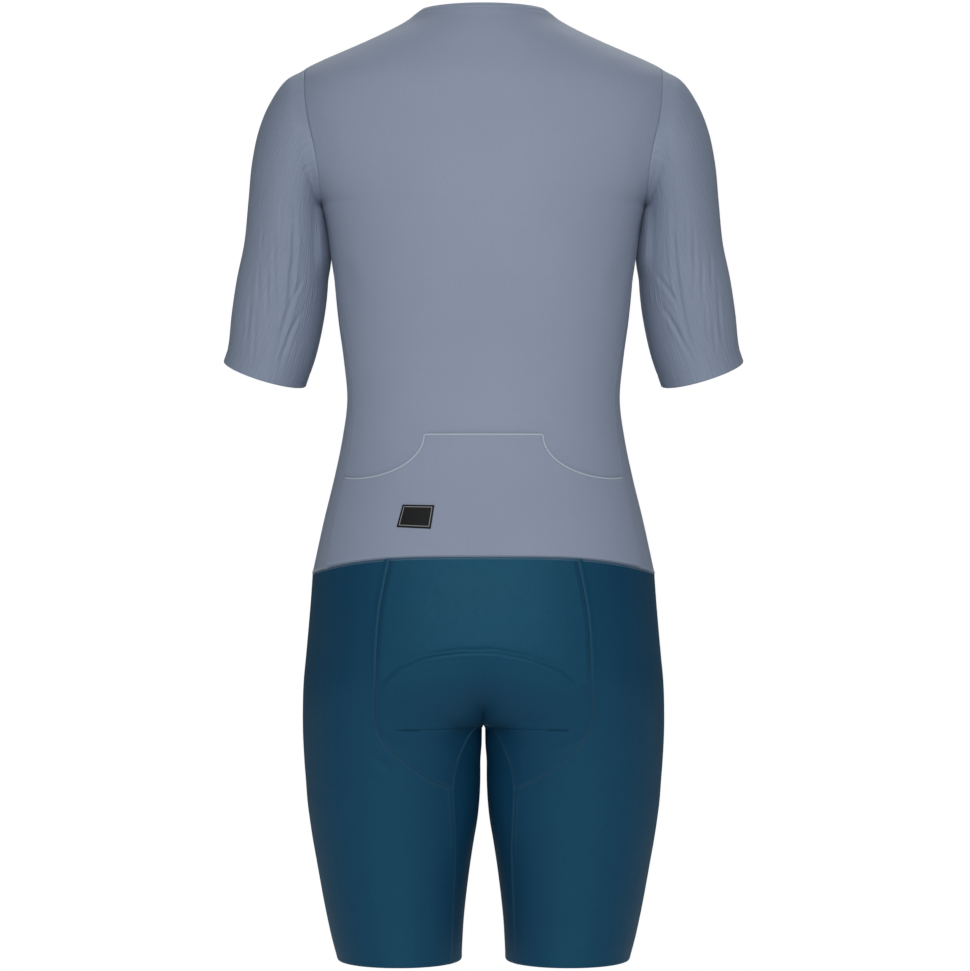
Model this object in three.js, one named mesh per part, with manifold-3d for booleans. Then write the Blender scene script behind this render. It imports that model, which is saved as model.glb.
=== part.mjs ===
// A short-sleeved one-piece triathlon suit in the shape it takes when worn, with nobody in it.
// Units are millimetres, +Z is up and the chest faces -Y, so the wearer's left is +X.
// The origin is midway between the shoulders at the level where the neck meets them.
//
// The suit is cut from panels of thin stretch knit: an upper back, two upper fronts that the zip joins,
// two set-in sleeves, a seat, two legs and two inner thighs. Each panel is a wall of cloth, and the
// panels stand a seam's gap apart. A pocket lies on the back, a seat pad lies inside the shorts, and a
// zip with a swinging pull closes the front.
//
// Every ring of the body is described at the height of its side. On a ring, angle 0 is the middle of
// the back, a quarter turn is the side and a half turn is the middle of the front. The left half is
// worked out and the right half mirrors it.
import * as THREE from "three";
import { mergeVertices } from "three/addons/utils/BufferGeometryUtils.js";
import Module from "manifold-3d";

const wasm = await Module();
wasm.setup();

// Cloth and seams
const CLOTH = 1.2;
const SEAM_GAP = 0.3;
const OVERLAY_GAP = 0.8; // an overlay's flat facets stay clear of the curved cloth below it
const RAISED_WITH_NEIGHBOUR = 0.3; // panels that meet at less than about 70 degrees share a normal

// Heights that the seams hang from
const NECK_EDGE = 12;
const NECK_SEAM = 7.5;
const SHOULDER_TIP = -50;
const ARMPIT = -191;
const WAIST = -563;
const SEAT_FULL = -632; // below here the hips begin to part into two legs
const SEAT_LEVEL = -645; // from here down the hips' points stand level with the legs'
const CROTCH = -716;
const SEAT_TIP = -779; // the seat panel ends here in a point on each inner thigh
const HEM = -958;

// How finely the panels are divided
const ROWS_NECK = 2;
const ROWS_SHOULDER = 4;
const ROWS_ARMHOLE = 14;
const ROWS_TORSO = 10;
const COLUMNS_SEAT = 5;
const COLUMNS_SIDE = 5;
const COLUMNS_FRONT = 9;
const COLUMNS_INNER = 3;
const COLUMNS_PAD = 7;
const SLEEVE_STEPS = 13;

const COLOURS = {
  upper: 0x7c899e,
  sleeve: 0x76849a,
  shorts: 0x143c58,
  pad: 0x2c3338,
  tape: 0x97a5b4,
  label: 0x0c0e10,
  zip: 0x5a6678,
  chain: 0x39424e,
  metal: 0x4a5058,
};

// Rings of the upper body, from the neck's edge down to the waist seam. side, back and front are the
// ring's heights there. width is half its width, backY and frontY are its middle's Y at the back and
// the front, and power is the superellipse's: 2 is an ellipse and more is squarer. bend says how the
// height runs between side and middle: 1 leaves the side at once and 2 leaves it gently. Between the
// shoulder tip and the armpit the ring runs on past the armhole, into the space that the sleeve takes.
const TORSO = [
  { side: 12, back: 10.2, front: -50, width: 61, backY: 56, frontY: -60, power: 2, bend: 1 },
  { side: 7.5, back: 5, front: -56, width: 67.5, backY: 60, frontY: -64, power: 2, bend: 1 },
  { side: 0, back: -4, front: -66, width: 77, backY: 65, frontY: -70, power: 2, bend: 1 },
  { side: -8, back: -12.8, front: -77, width: 91, backY: 70, frontY: -77, power: 2.05, bend: 1 },
  { side: -20, back: -24.8, front: -89, width: 116, backY: 76, frontY: -84, power: 2.1, bend: 1 },
  { side: -31, back: -37, front: -99, width: 141, backY: 81.5, frontY: -90, power: 2.15, bend: 1 },
  { side: -41, back: -49, front: -109, width: 164, backY: 87, frontY: -95, power: 2.2, bend: 1 },
  { side: -50, back: -61, front: -118, width: 181.5, backY: 92, frontY: -99, power: 2.25, bend: 1 },
  { side: -62, back: -73, front: -127, width: 190, backY: 96, frontY: -103, power: 2.3, bend: 1.09 },
  { side: -80, back: -90, front: -138, width: 195, backY: 101, frontY: -107, power: 2.35, bend: 1.21 },
  { side: -104, back: -111, front: -151, width: 196, backY: 107, frontY: -110, power: 2.35, bend: 1.38 },
  { side: -130, back: -134, front: -165, width: 191, backY: 112, frontY: -113, power: 2.4, bend: 1.57 },
  { side: -156, back: -158, front: -178, width: 183, backY: 115, frontY: -116, power: 2.4, bend: 1.75 },
  { side: -178, back: -179, front: -191, width: 172, backY: 117, frontY: -117, power: 2.4, bend: 1.91 },
  { side: -191, back: -191, front: -200, width: 164, backY: 118, frontY: -118, power: 2.4, bend: 2 },
  { side: -209, back: -209, front: -214, width: 158.5, backY: 118, frontY: -119, power: 2.4, bend: 2 },
  { side: -235, back: -235, front: -238, width: 154.5, backY: 117, frontY: -119, power: 2.4, bend: 2 },
  { side: -265, back: -265, front: -266, width: 152, backY: 115, frontY: -118, power: 2.4, bend: 2 },
  { side: -306, back: -306, front: -306, width: 148, backY: 110, frontY: -115, power: 2.4, bend: 2 },
  { side: -347, back: -347, front: -347, width: 142.5, backY: 103, frontY: -111, power: 2.35, bend: 2 },
  { side: -388, back: -388, front: -388, width: 139, backY: 98, frontY: -108, power: 2.35, bend: 2 },
  { side: -428, back: -427, front: -428, width: 144, backY: 99, frontY: -108, power: 2.35, bend: 2 },
  { side: -469, back: -465, front: -467, width: 152.5, backY: 105, frontY: -111, power: 2.35, bend: 2 },
  { side: -510, back: -501, front: -505, width: 162.5, backY: 112, frontY: -113, power: 2.4, bend: 2 },
  { side: -563, back: -545, front: -552, width: 174, backY: 119, frontY: -113, power: 2.4, bend: 2 },
];

// Rings of the hips, from the waist seam to the crotch, in the same columns.
const HIPS = [
  { side: -563, back: -545, front: -552, width: 174, backY: 119, frontY: -113, power: 2.4, bend: 2 },
  { side: -592, back: -580, front: -584, width: 176, backY: 125, frontY: -111, power: 2.4, bend: 2 },
  { side: -622, back: -616, front: -618, width: 178.5, backY: 129, frontY: -107, power: 2.4, bend: 2 },
  { side: -650, back: -648, front: -648, width: 181, backY: 130, frontY: -103, power: 2.4, bend: 2 },
  { side: -672, back: -672, front: -672, width: 183, backY: 127, frontY: -98, power: 2.5, bend: 2 },
  { side: -694, back: -694, front: -694, width: 184, backY: 119, frontY: -94, power: 2.65, bend: 2 },
  { side: -716, back: -716, front: -716, width: 184, backY: 109, frontY: -90, power: 2.8, bend: 2 },
];

// Rings of a leg, to the hem. outer and inner are its reach from the middle: inner is half the gap
// between the legs. Above the crotch the hips turn into these rings.
const LEG = [
  { side: -632, outer: 179.5, inner: 0, backY: 113, frontY: -93, power: 2 },
  { side: -672, outer: 183, inner: 0, backY: 111, frontY: -89, power: 2 },
  { side: -716, outer: 184, inner: 0, backY: 103, frontY: -84, power: 2 },
  { side: -720, outer: 184, inner: 2.7, backY: 102, frontY: -84, power: 2 },
  { side: -726, outer: 184, inner: 3.1, backY: 101, frontY: -84, power: 2 },
  { side: -735, outer: 183.5, inner: 3.2, backY: 99, frontY: -84, power: 2.03 },
  { side: -755, outer: 182.5, inner: 3.2, backY: 95, frontY: -84, power: 2.06 },
  { side: -775, outer: 181, inner: 3.2, backY: 91.5, frontY: -84, power: 2.08 },
  { side: -796, outer: 179.5, inner: 4.2, backY: 88, frontY: -83, power: 2.1 },
  { side: -816, outer: 177, inner: 6.3, backY: 85, frontY: -82, power: 2.1 },
  { side: -836, outer: 174, inner: 9.7, backY: 82, frontY: -81, power: 2.1 },
  { side: -857, outer: 170.3, inner: 13, backY: 79, frontY: -80, power: 2.1 },
  { side: -877, outer: 166.8, inner: 15.7, backY: 76.5, frontY: -79, power: 2.1 },
  { side: -898, outer: 163, inner: 18.2, backY: 74, frontY: -78, power: 2.1 },
  { side: -918, outer: 159, inner: 20.2, backY: 71, frontY: -76, power: 2.1 },
  { side: -938, outer: 154.5, inner: 21.4, backY: 69, frontY: -75, power: 2.1 },
  { side: -958, outer: 149, inner: 22.4, backY: 67, frontY: -73, power: 2.1 },
];

// Rings of a sleeve after the armhole, down to the cuff. outerX and outerZ are where the ring crosses
// the sleeve's outer line, innerX and innerZ where it crosses the underarm line. depth is half its
// size from front to back, middle is its middle's Y, and droop is how much lower its back hangs.
const SLEEVE = [
  { outerX: 200.5, outerZ: -61, innerX: 165.2, innerZ: -195.5, depth: 63, middle: -1, droop: 0 },
  { outerX: 217.5, outerZ: -84, innerX: 164.6, innerZ: -200.5, depth: 64, middle: -2, droop: 1 },
  { outerX: 229, outerZ: -111, innerX: 163.2, innerZ: -208, depth: 63, middle: -3, droop: 2 },
  { outerX: 236.5, outerZ: -145, innerX: 161.2, innerZ: -220, depth: 61, middle: -5, droop: 3 },
  { outerX: 240.5, outerZ: -184, innerX: 159.4, innerZ: -236, depth: 59, middle: -8, droop: 4 },
  { outerX: 245, outerZ: -226, innerX: 159, innerZ: -256, depth: 57, middle: -12, droop: 6 },
  { outerX: 253, outerZ: -263, innerX: 160.6, innerZ: -282, depth: 55, middle: -16, droop: 7 },
  { outerX: 258.6, outerZ: -298, innerX: 164.6, innerZ: -309, depth: 53, middle: -20, droop: 8 },
  { outerX: 262.5, outerZ: -331, innerX: 172.2, innerZ: -342, depth: 51.5, middle: -24, droop: 9 },
  { outerX: 267.3, outerZ: -347, innerX: 183, innerZ: -373, depth: 51, middle: -26, droop: 9 },
];

// Where a row of the torso stops: x of the armhole seam, by the height of the ring's side. Above the
// shoulder tip and below the armpit it only carries the curve on.
const ARMHOLE = [
  { side: -41, x: 184 },
  { side: -50, x: 181.5 },
  { side: -62, x: 181 },
  { side: -80, x: 179.5 },
  { side: -104, x: 176 },
  { side: -130, x: 170.5 },
  { side: -156, x: 166.5 },
  { side: -178, x: 165 },
  { side: -191, x: 164 },
  { side: -209, x: 164 },
];

// The side seam's place as a share of the ring's half width: 1 is at the very side, and less lies on
// the back of it.
const SIDE_SEAM = [
  { side: -191, share: 1 },
  { side: -235, share: 0.995 },
  { side: -306, share: 0.975 },
  { side: -388, share: 0.945 },
  { side: -469, share: 0.918 },
  { side: -563, share: 0.905 },
];

// The seam between seat and leg, as distance from the middle of the back.
const SEAT_SEAM = [
  { side: -563, x: 92.5 },
  { side: -585, x: 98 },
  { side: -607, x: 102.5 },
  { side: -640, x: 105.5 },
  { side: -668, x: 106.5 },
  { side: -700, x: 108 },
  { side: -716, x: 105.5 },
  { side: -731, x: 97.5 },
  { side: -743, x: 85.5 },
  { side: -756, x: 70 },
  { side: -768, x: 54 },
  { side: -779, x: 31.2 },
];

// The gusset's back seam, as distance from the middle. Its front seam mirrors it.
const INNER_SEAM = [
  { side: -709, x: 0 },
  { side: -716, x: 6 },
  { side: -720, x: 11 },
  { side: -726, x: 16 },
  { side: -738, x: 22.5 },
  { side: -756, x: 28 },
  { side: -779, x: 31.2 },
  { side: -800, x: 30.6 },
  { side: -838, x: 29 },
  { side: -888, x: 30.5 },
  { side: -958, x: 33 },
];

// The seat pad's edge by height, as distance from the middle: over the seat, and up the front.
const PAD_BACK = [
  { side: -632, x: 24 },
  { side: -645, x: 66 },
  { side: -658, x: 88 },
  { side: -674, x: 101 },
  { side: -700, x: 106 },
  { side: -716, x: 102 },
  { side: -731, x: 80 },
  { side: -744, x: 40 },
];
const PAD_FRONT = [
  { side: -658, x: 16 },
  { side: -674, x: 30 },
  { side: -700, x: 37 },
  { side: -716, x: 35 },
  { side: -731, x: 27 },
  { side: -744, x: 15 },
];
const PAD = { crowding: 1.6, thickness: 5, edge: 1.5, softEdge: 16, clearance: 2, edgeClearance: 0.6 };

// The pocket on the back: its mouth is level across the middle and scoops down to the side seams.
const POCKET = {
  mouthZ: -425,
  mouthHalf: 58,
  scoopWidth: 72,
  scoopDepth: 44,
  levelColumns: 4,
  scoopColumns: 9,
  rows: 5,
  tapeWidth: 2.6,
  tapeThickness: 1.5,
};

// The label's corners on the wearer's left of the pocket, as seen from behind.
const LABEL = {
  topInner: [48, -494.8],
  topOuter: [79.3, -494.4],
  bottomOuter: [85.2, -516.5],
  bottomInner: [51.6, -518],
  thickness: 0.8,
  gap: 0.5,
  cells: 3,
};

// Soft creases down the back of a sleeve. fromRing and toRing count the sleeve's rings from the
// armhole, fromAngle and toAngle are degrees round it, 0 at the outer line and 180 at the underarm.
const CREASES = [
  { fromRing: 4.6, fromAngle: 118, toRing: 9.6, toAngle: 76, width: 9, depth: 1.6 },
  { fromRing: 6.2, fromAngle: 132, toRing: 10, toAngle: 96, width: 8, depth: 1.4 },
  { fromRing: 3.8, fromAngle: 96, toRing: 7.6, toAngle: 84, width: 8, depth: 1.2 },
  { fromRing: 4.4, fromAngle: 72, toRing: 8.8, toAngle: 62, width: 8, depth: 1.1 },
  { fromRing: 5.6, fromAngle: 50, toRing: 9.6, toAngle: 42, width: 8, depth: 1 },
  { fromRing: 5, fromAngle: 236, toRing: 9.4, toAngle: 268, width: 9, depth: 1.1 },
  { fromRing: 4.2, fromAngle: 268, toRing: 8.6, toAngle: 288, width: 8, depth: 1 },
];

// The front zip: the fronts stop at its coil, and its tape lies behind them.
const ZIP = {
  openingHalf: 2.9,
  coilHalf: 2.4,
  coilProud: 0.6,
  tapeHalf: 13,
  tapeThickness: 0.8,
  sliderZ: -70,
};
const SLIDER = {
  width: 7.6,
  tailWidth: 5.6,
  length: 10,
  plateBottom: 1,
  plateTop: 2.3,
  bridgeWidth: 1.8,
  bridgeOuter: 3.4,
  bridgeInner: 2.2,
  bridgeRoof: 4.4,
  bridgeTop: 5.4,
};
const PULL = {
  axisHeight: 3.3,
  barHalf: 0.6,
  eyeHalfWidth: 1.6,
  eyeEnd: 4.5,
  halfWidth: 2.8,
  length: 26,
  tipHalfWidth: 2,
};

// Angles round a ring, and the least step off the side that tells the back's edge from the front's
const BACK = 0;
const SIDE = Math.PI / 2;
const FRONT = Math.PI;
const OFF_SIDE = 1e-9;

// A smooth value from a table: a cubic through the rows on each side of the key.
function smooth(table, column, key, keyColumn = "side") {
  const last = table.length - 1;
  const falling = table[0][keyColumn] > table[last][keyColumn];
  const beyond = (i) => (falling ? key < table[i][keyColumn] : key > table[i][keyColumn]);
  let i = 0;
  while (i < last - 1 && beyond(i + 1)) i += 1;
  const secant = (k) =>
    (table[k + 1][column] - table[k][column]) / (table[k + 1][keyColumn] - table[k][keyColumn]);
  const here = secant(i);
  const slopeA = i > 0 ? (secant(i - 1) + here) / 2 : here;
  const slopeB = i < last - 1 ? (here + secant(i + 1)) / 2 : here;
  const width = table[i + 1][keyColumn] - table[i][keyColumn];
  const s = THREE.MathUtils.clamp((key - table[i][keyColumn]) / width, 0, 1);
  const a = table[i][column];
  const b = table[i + 1][column];
  return (
    a * (1 + 2 * s) * (1 - s) ** 2 +
    slopeA * width * s * (1 - s) ** 2 +
    b * s * s * (3 - 2 * s) +
    slopeB * width * s * s * (s - 1)
  );
}

const signedPower = (value, power) => Math.sign(value) * Math.abs(value) ** power;

// A point of the left half of a ring. angle runs from 0 at the back to pi at the front.
function ringPoint(table, angle, side) {
  const value = (column) => smooth(table, column, side);
  const [power, bend] = [2 / value("power"), value("bend")];
  const c = Math.cos(angle);
  const atBack = c >= 0;
  const away = Math.abs(c);
  const share = atBack ? 1 - (1 - away ** bend) ** (3 / bend) : away ** (0.6 + 0.7 * bend);
  const end = value(atBack ? "back" : "front");
  return new THREE.Vector3(
    value("width") * Math.abs(Math.sin(angle)) ** power,
    value(atBack ? "backY" : "frontY") * away ** power,
    side + (end - side) * share,
  );
}

// A point of the left half of the torso. Between shoulder tip and armpit the ring is squeezed, so that
// the angles up to a quarter turn, and those from there on, reach only as far as the armhole.
function torsoPoint(angle, side) {
  if (side >= SHOULDER_TIP || side <= ARMPIT) return ringPoint(TORSO, angle, side);
  const reach = Math.min(smooth(ARMHOLE, "x", side) / smooth(TORSO, "width", side), 1);
  const squeezed = Math.asin(reach ** (smooth(TORSO, "power", side) / 2) * Math.sin(angle));
  return ringPoint(TORSO, angle > SIDE ? FRONT - squeezed : squeezed, side);
}

// A point of the left leg's ring. It goes round once while angle runs from 0 to pi, from the inside
// of the leg by its back.
function legPoint(angle, side) {
  const value = (column) => smooth(LEG, column, side);
  const power = 2 / value("power");
  const turn = (2 * angle) % (2 * Math.PI);
  const [outer, inner] = [value("outer"), side > CROTCH ? 0 : value("inner")];
  const [back, front] = [value("backY"), value("frontY")];
  return new THREE.Vector3(
    (outer + inner) / 2 - ((outer - inner) / 2) * signedPower(Math.cos(turn), power),
    (back + front) / 2 + ((back - front) / 2) * signedPower(Math.sin(turn), power),
    side,
  );
}

// A point of the left half of the shorts. The ring of the hips turns into the ring of a leg between
// SEAT_FULL and CROTCH, along a quarter circle, so that the two legs part in a round arch. The hips'
// angles shift on the way down, until each point of the hips stands level with its point of the leg.
function shortsPoint(angle, side) {
  const q = THREE.MathUtils.clamp((SEAT_FULL - side) / (SEAT_FULL - CROTCH), 0, 1);
  const leg = legPoint(angle, side);
  if (q === 1) return leg;
  const across = Math.min(leg.x / smooth(LEG, "outer", side), 1);
  const level = Math.asin(across ** (smooth(HIPS, "power", side) / 2));
  const shift = THREE.MathUtils.smoothstep(-side, -WAIST, -SEAT_LEVEL);
  const hipAngle = THREE.MathUtils.lerp(angle, angle > SIDE ? FRONT - level : level, shift);
  return ringPoint(HIPS, hipAngle, side).lerp(leg, 1 - Math.sqrt(1 - q * q));
}

// The angle at which a ring is x wide, between two angles over which it only widens or only narrows.
function angleAt(point, side, x, from, to) {
  let [a, b] = [from, to];
  const rising = point(to, side).x > point(from, side).x;
  for (let step = 0; step < 40; step += 1) {
    const middle = (a + b) / 2;
    if (point(middle, side).x < x === rising) a = middle;
    else b = middle;
  }
  return (a + b) / 2;
}

const steps = (count, from, to) =>
  Array.from({ length: count + 1 }, (_, i) => from + ((to - from) * i) / count);
const eased = (count, from, to) =>
  steps(count, 0, 1).map((s) => from + (to - from) * (s / 2 + (1 - Math.cos(Math.PI * s)) / 4));

// Rows of the torso, as heights of the ring's side. They crowd together at both ends of the armhole.
const armholeRows = eased(ROWS_ARMHOLE, SHOULDER_TIP, ARMPIT);
const torsoRows = [
  ...steps(ROWS_SHOULDER, NECK_SEAM, SHOULDER_TIP).slice(0, -1),
  ...armholeRows,
  ...steps(ROWS_TORSO, ARMPIT, WAIST).slice(1),
];

// Rows of the shorts: above the crotch they crowd towards it, and below it they open out again.
const partingRow = (degrees) =>
  Math.round(SEAT_FULL - (SEAT_FULL - CROTCH) * Math.sin(THREE.MathUtils.degToRad(degrees)));
const shortsRows = [
  ...[WAIST, -586, -609],
  ...[0, 9, 18, 30, 42, 54, 66].map(partingRow),
  ...[CROTCH, -720, -726, -734, -744, -756, -768, SEAT_TIP],
  ...[-800, -822, -848, -876, -904, -931, HEM],
];
const GUSSET_TIP = partingRow(66);

// The outer edge of the torso's back, or the front's edge on the same row: shoulder seam, armhole or
// side seam.
function torsoEdge(side, atBack) {
  if (side >= SHOULDER_TIP) return SIDE;
  if (side >= ARMPIT) return atBack ? SIDE - OFF_SIDE : SIDE + OFF_SIDE;
  const x = smooth(SIDE_SEAM, "share", side) * smooth(TORSO, "width", side);
  return angleAt(torsoPoint, side, x, BACK, SIDE);
}

const zipAngle = (side, x) => angleAt(torsoPoint, side, x, FRONT, SIDE);
const innerSeam = (side) => smooth(INNER_SEAM, "x", side);
const innerAngleBack = (side) => angleAt(shortsPoint, side, innerSeam(side), BACK, SIDE);
const innerAngleFront = (side) => angleAt(shortsPoint, side, innerSeam(side), FRONT, SIDE);
const seatAngle = (side) => angleAt(shortsPoint, side, smooth(SEAT_SEAM, "x", side), BACK, SIDE);

// A grid of points, a row for each height, from one angle to another. shares spreads its columns.
const grid = (point, rows, shares, from, to) =>
  rows.map((side) => shares.map((share) => point(from(side) + (to(side) - from(side)) * share, side)));
const mirrored = (patch) => patch.map((row) => row.map((p) => new THREE.Vector3(-p.x, p.y, p.z)));

// The columns of the panels above and below the waist seam meet there, point for point: the seat's,
// the side's from the seat to the side seam, the front's, and those on each side of the zip.
const waistAngles = {
  seat: steps(COLUMNS_SEAT, BACK, seatAngle(WAIST)),
  side: steps(COLUMNS_SIDE, seatAngle(WAIST), torsoEdge(WAIST, true)).slice(1),
  front: steps(COLUMNS_FRONT, torsoEdge(WAIST, true), zipAngle(WAIST, ZIP.tapeHalf)).slice(1),
  zip: [zipAngle(WAIST, ZIP.openingHalf)],
};
function sharesOf(...groups) {
  const angles = groups.flat();
  const [from, to] = [angles[0], angles.at(-1)];
  return angles.map((angle) => (angle - from) / (to - from));
}

// Panels of cloth that share a smooth surface. Each keeps its own points and faces.
class Panel {
  // patches are grids of points, and inside gives a point within the body for a point on the cloth.
  constructor(name, patches, inside, raise = () => 0) {
    this.name = name;
    this.points = [];
    this.raises = [];
    this.faces = [];
    this.index = new Map();
    for (const patch of patches) this.addPatch(patch, inside, raise);
    this.normals = this.points.map(() => new THREE.Vector3());
    for (const face of this.faces) {
      const normal = this.faceNormal(face);
      for (const i of face) this.normals[i].add(normal);
    }
  }

  static key(p) {
    return `${Math.round(p.x * 1e3)},${Math.round(p.y * 1e3)},${Math.round(p.z * 1e3)}`;
  }

  vertex(p, raise) {
    const key = Panel.key(p);
    if (!this.index.has(key)) {
      this.index.set(key, this.points.length);
      this.points.push(p);
      this.raises.push(raise);
    }
    return this.index.get(key);
  }

  faceNormal([a, b, c]) {
    const ab = this.points[b].clone().sub(this.points[a]);
    return ab.cross(this.points[c].clone().sub(this.points[a]));
  }

  addPatch(patch, inside, raise) {
    const made = [];
    const numbers = patch.map((row, i) => row.map((p, j) => this.vertex(p, raise(p, i, j))));
    for (let i = 0; i + 1 < patch.length; i += 1) {
      for (let j = 0; j + 1 < patch[i].length; j += 1) {
        const [a, b] = [numbers[i][j], numbers[i][j + 1]];
        const [c, d] = [numbers[i + 1][j + 1], numbers[i + 1][j]];
        const across = (m, n) => this.points[m].distanceToSquared(this.points[n]);
        const halves = across(a, c) <= across(b, d) ? [[a, b, c], [a, c, d]] : [[a, b, d], [b, c, d]];
        for (const half of halves) if (new Set(half).size === 3) made.push(half);
      }
    }
    let outward = 0;
    for (const face of made) {
      const middle = this.points[face[0]];
      outward += this.faceNormal(face).dot(middle.clone().sub(inside(middle)));
    }
    if (outward < 0) for (const face of made) face.reverse();
    this.faces.push(...made);
  }

  // Each edge that only one face uses, with its two ends in that face's order.
  edge() {
    const uses = new Map();
    for (const face of this.faces) {
      for (let k = 0; k < 3; k += 1) {
        const [a, b] = [face[k], face[(k + 1) % 3]];
        uses.set(`${a},${b}`, [a, b, face]);
      }
    }
    return [...uses.values()].filter(([a, b]) => !uses.has(`${b},${a}`));
  }

  // The cloth as a closed wall between two distances from its surface, set back half a seam's gap. A
  // distance may also be a function of the point.
  solid(innerReach, outerReach, setBack = SEAM_GAP / 2) {
    const inward = this.points.map(() => []);
    for (const [a, b, face] of this.edge()) {
      const along = this.points[b].clone().sub(this.points[a]);
      const direction = this.faceNormal(face).cross(along).normalize();
      inward[a].push(direction);
      inward[b].push(direction);
    }
    const mostSetBack = 8 * setBack;
    const placed = this.points.map((p, i) => {
      const [first, second] = inward[i];
      if (!first) return p.clone();
      const sum = first.clone().add(second ?? first);
      const lean = Math.max(1 + first.dot(second ?? first), 0.02);
      return p.clone().add(sum.multiplyScalar(setBack / lean).clampLength(0, mostSetBack));
    });
    const layer = (reach) =>
      placed.map((p, i) => {
        const distance = typeof reach === "function" ? reach(this.points[i]) : reach;
        return p.clone().addScaledVector(this.normals[i], this.raises[i] + distance);
      });
    const [outer, inner] = [layer(outerReach), layer(innerReach)];
    const shift = outer.length;
    const triangles = [];
    for (const [a, b, c] of this.faces) triangles.push(a, b, c, a + shift, c + shift, b + shift);
    for (const [a, b] of this.edge()) {
      const fromA = Panel.key(this.points[a]) < Panel.key(this.points[b]);
      if (fromA) triangles.push(b, a, b + shift, a, a + shift, b + shift);
      else triangles.push(b, a, a + shift, b, a + shift, b + shift);
    }
    const geometry = new THREE.BufferGeometry().setFromPoints([...outer, ...inner]);
    geometry.setIndex(triangles);
    return geometry;
  }
}

// Points that panels share get one normal, unless the panels fold sharply there.
function shareNormals(panels) {
  const meeting = new Map();
  for (const panel of panels) {
    panel.points.forEach((p, i) => {
      const key = Panel.key(p);
      if (!meeting.has(key)) meeting.set(key, []);
      meeting.get(key).push(panel.normals[i].clone());
    });
  }
  for (const panel of panels) {
    panel.normals = panel.normals.map((own, i) => {
      const total = new THREE.Vector3();
      const direction = own.clone().normalize();
      for (const other of meeting.get(Panel.key(panel.points[i])))
        if (other.clone().normalize().dot(direction) > RAISED_WITH_NEIGHBOUR) total.add(other);
      return total.normalize();
    });
  }
}

const material = (colour, roughness = 0.75, metalness = 0) =>
  new THREE.MeshStandardMaterial({ color: colour, roughness, metalness });
const suit = new THREE.Group();

function addMesh(parent, name, geometry, look) {
  const mesh = new THREE.Mesh(geometry, look);
  mesh.name = name;
  parent.add(mesh);
  return mesh;
}

// A point within the body, level with a point on the cloth.
const withinTorso = (p) => new THREE.Vector3(0, 0, p.z);
const withinLeg = (p) => {
  const ring = smooth(LEG, "outer", p.z);
  return new THREE.Vector3((Math.sign(p.x) * ring) / 2, 8, p.z);
};
const withinHips = (p) => (p.z > CROTCH ? new THREE.Vector3(0, 8, p.z) : withinLeg(p));

// Upper back and fronts. The fronts' first columns stand where the zip's tape ends, so that the tape
// lies flat behind them.
function torsoPanels() {
  const shares = sharesOf(waistAngles.seat, waistAngles.side);
  const back = grid(torsoPoint, torsoRows, shares, () => BACK, (side) => torsoEdge(side, true));
  const front = torsoRows.map((side) => {
    const tapeEdge = zipAngle(side, ZIP.tapeHalf);
    const rest = steps(COLUMNS_FRONT, tapeEdge, torsoEdge(side, false));
    return [zipAngle(side, ZIP.openingHalf), ...rest].map((angle) => torsoPoint(angle, side));
  });
  return [
    new Panel("upper_back", [back, mirrored(back)], withinTorso),
    new Panel("upper_front_left", [front], withinTorso),
    new Panel("upper_front_right", [mirrored(front)], withinTorso),
  ];
}

// The binding round the neck, open at the zip.
function neckPanel() {
  const rows = steps(ROWS_NECK, NECK_EDGE, NECK_SEAM);
  const backShares = sharesOf(waistAngles.seat, waistAngles.side);
  const backHalf = grid(torsoPoint, rows, backShares, () => BACK, () => SIDE);
  const frontHalf = rows.map((side) => {
    const angles = steps(COLUMNS_FRONT, zipAngle(side, ZIP.tapeHalf), SIDE);
    return [zipAngle(side, ZIP.openingHalf), ...angles].map((angle) => torsoPoint(angle, side));
  });
  const patches = [backHalf, frontHalf, mirrored(backHalf), mirrored(frontHalf)];
  return new Panel("neck_binding", patches, withinTorso);
}

// The armhole as a closed loop of points with each one's angle: down the back of it from the shoulder
// tip to the armpit, and up the front again.
function armholeLoop() {
  const down = armholeRows.map((side) => torsoPoint(torsoEdge(side, true), side));
  const up = armholeRows.slice(1, -1).reverse().map((side) => torsoPoint(torsoEdge(side, false), side));
  const half = (points, from) => {
    const along = [0];
    for (let i = 1; i < points.length; i += 1) {
      along.push(along[i - 1] + points[i].distanceTo(points[i - 1]));
    }
    return along.map((length) => from + (Math.PI * length) / along.at(-1));
  };
  const backAngles = half(down, 0);
  const frontAngles = half([down.at(-1), ...up, down[0]], Math.PI).slice(1, -1);
  return { points: [...down, ...up], angles: [...backAngles, ...frontAngles] };
}

// A point on one of the sleeve's rings. Angle 0 is the outer line and pi the underarm.
function sleeveRingPoint(ring, angle) {
  const [c, s] = [Math.cos(angle), Math.sin(angle)];
  return new THREE.Vector3(
    (ring.outerX + ring.innerX) / 2 + ((ring.outerX - ring.innerX) / 2) * c,
    ring.middle + ring.depth * s,
    (ring.outerZ + ring.innerZ) / 2 + ((ring.outerZ - ring.innerZ) / 2) * c - ring.droop * s,
  );
}

// How deep the creases are at a place on the sleeve, given by its ring and its angle in degrees.
function creaseDepth(ring, degrees) {
  const millimetresADegree = 0.9;
  let depth = 0;
  for (const fold of CREASES) {
    const s = (ring - fold.fromRing) / (fold.toRing - fold.fromRing);
    const ends = THREE.MathUtils.smoothstep(s, 0, 0.3) * (1 - THREE.MathUtils.smoothstep(s, 0.8, 1.05));
    const middle = fold.fromAngle + (fold.toAngle - fold.fromAngle) * s;
    const away = ((degrees - middle) * millimetresADegree) / (fold.width / 2);
    depth += fold.depth * ends * Math.exp(-away * away);
  }
  return depth;
}

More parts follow.
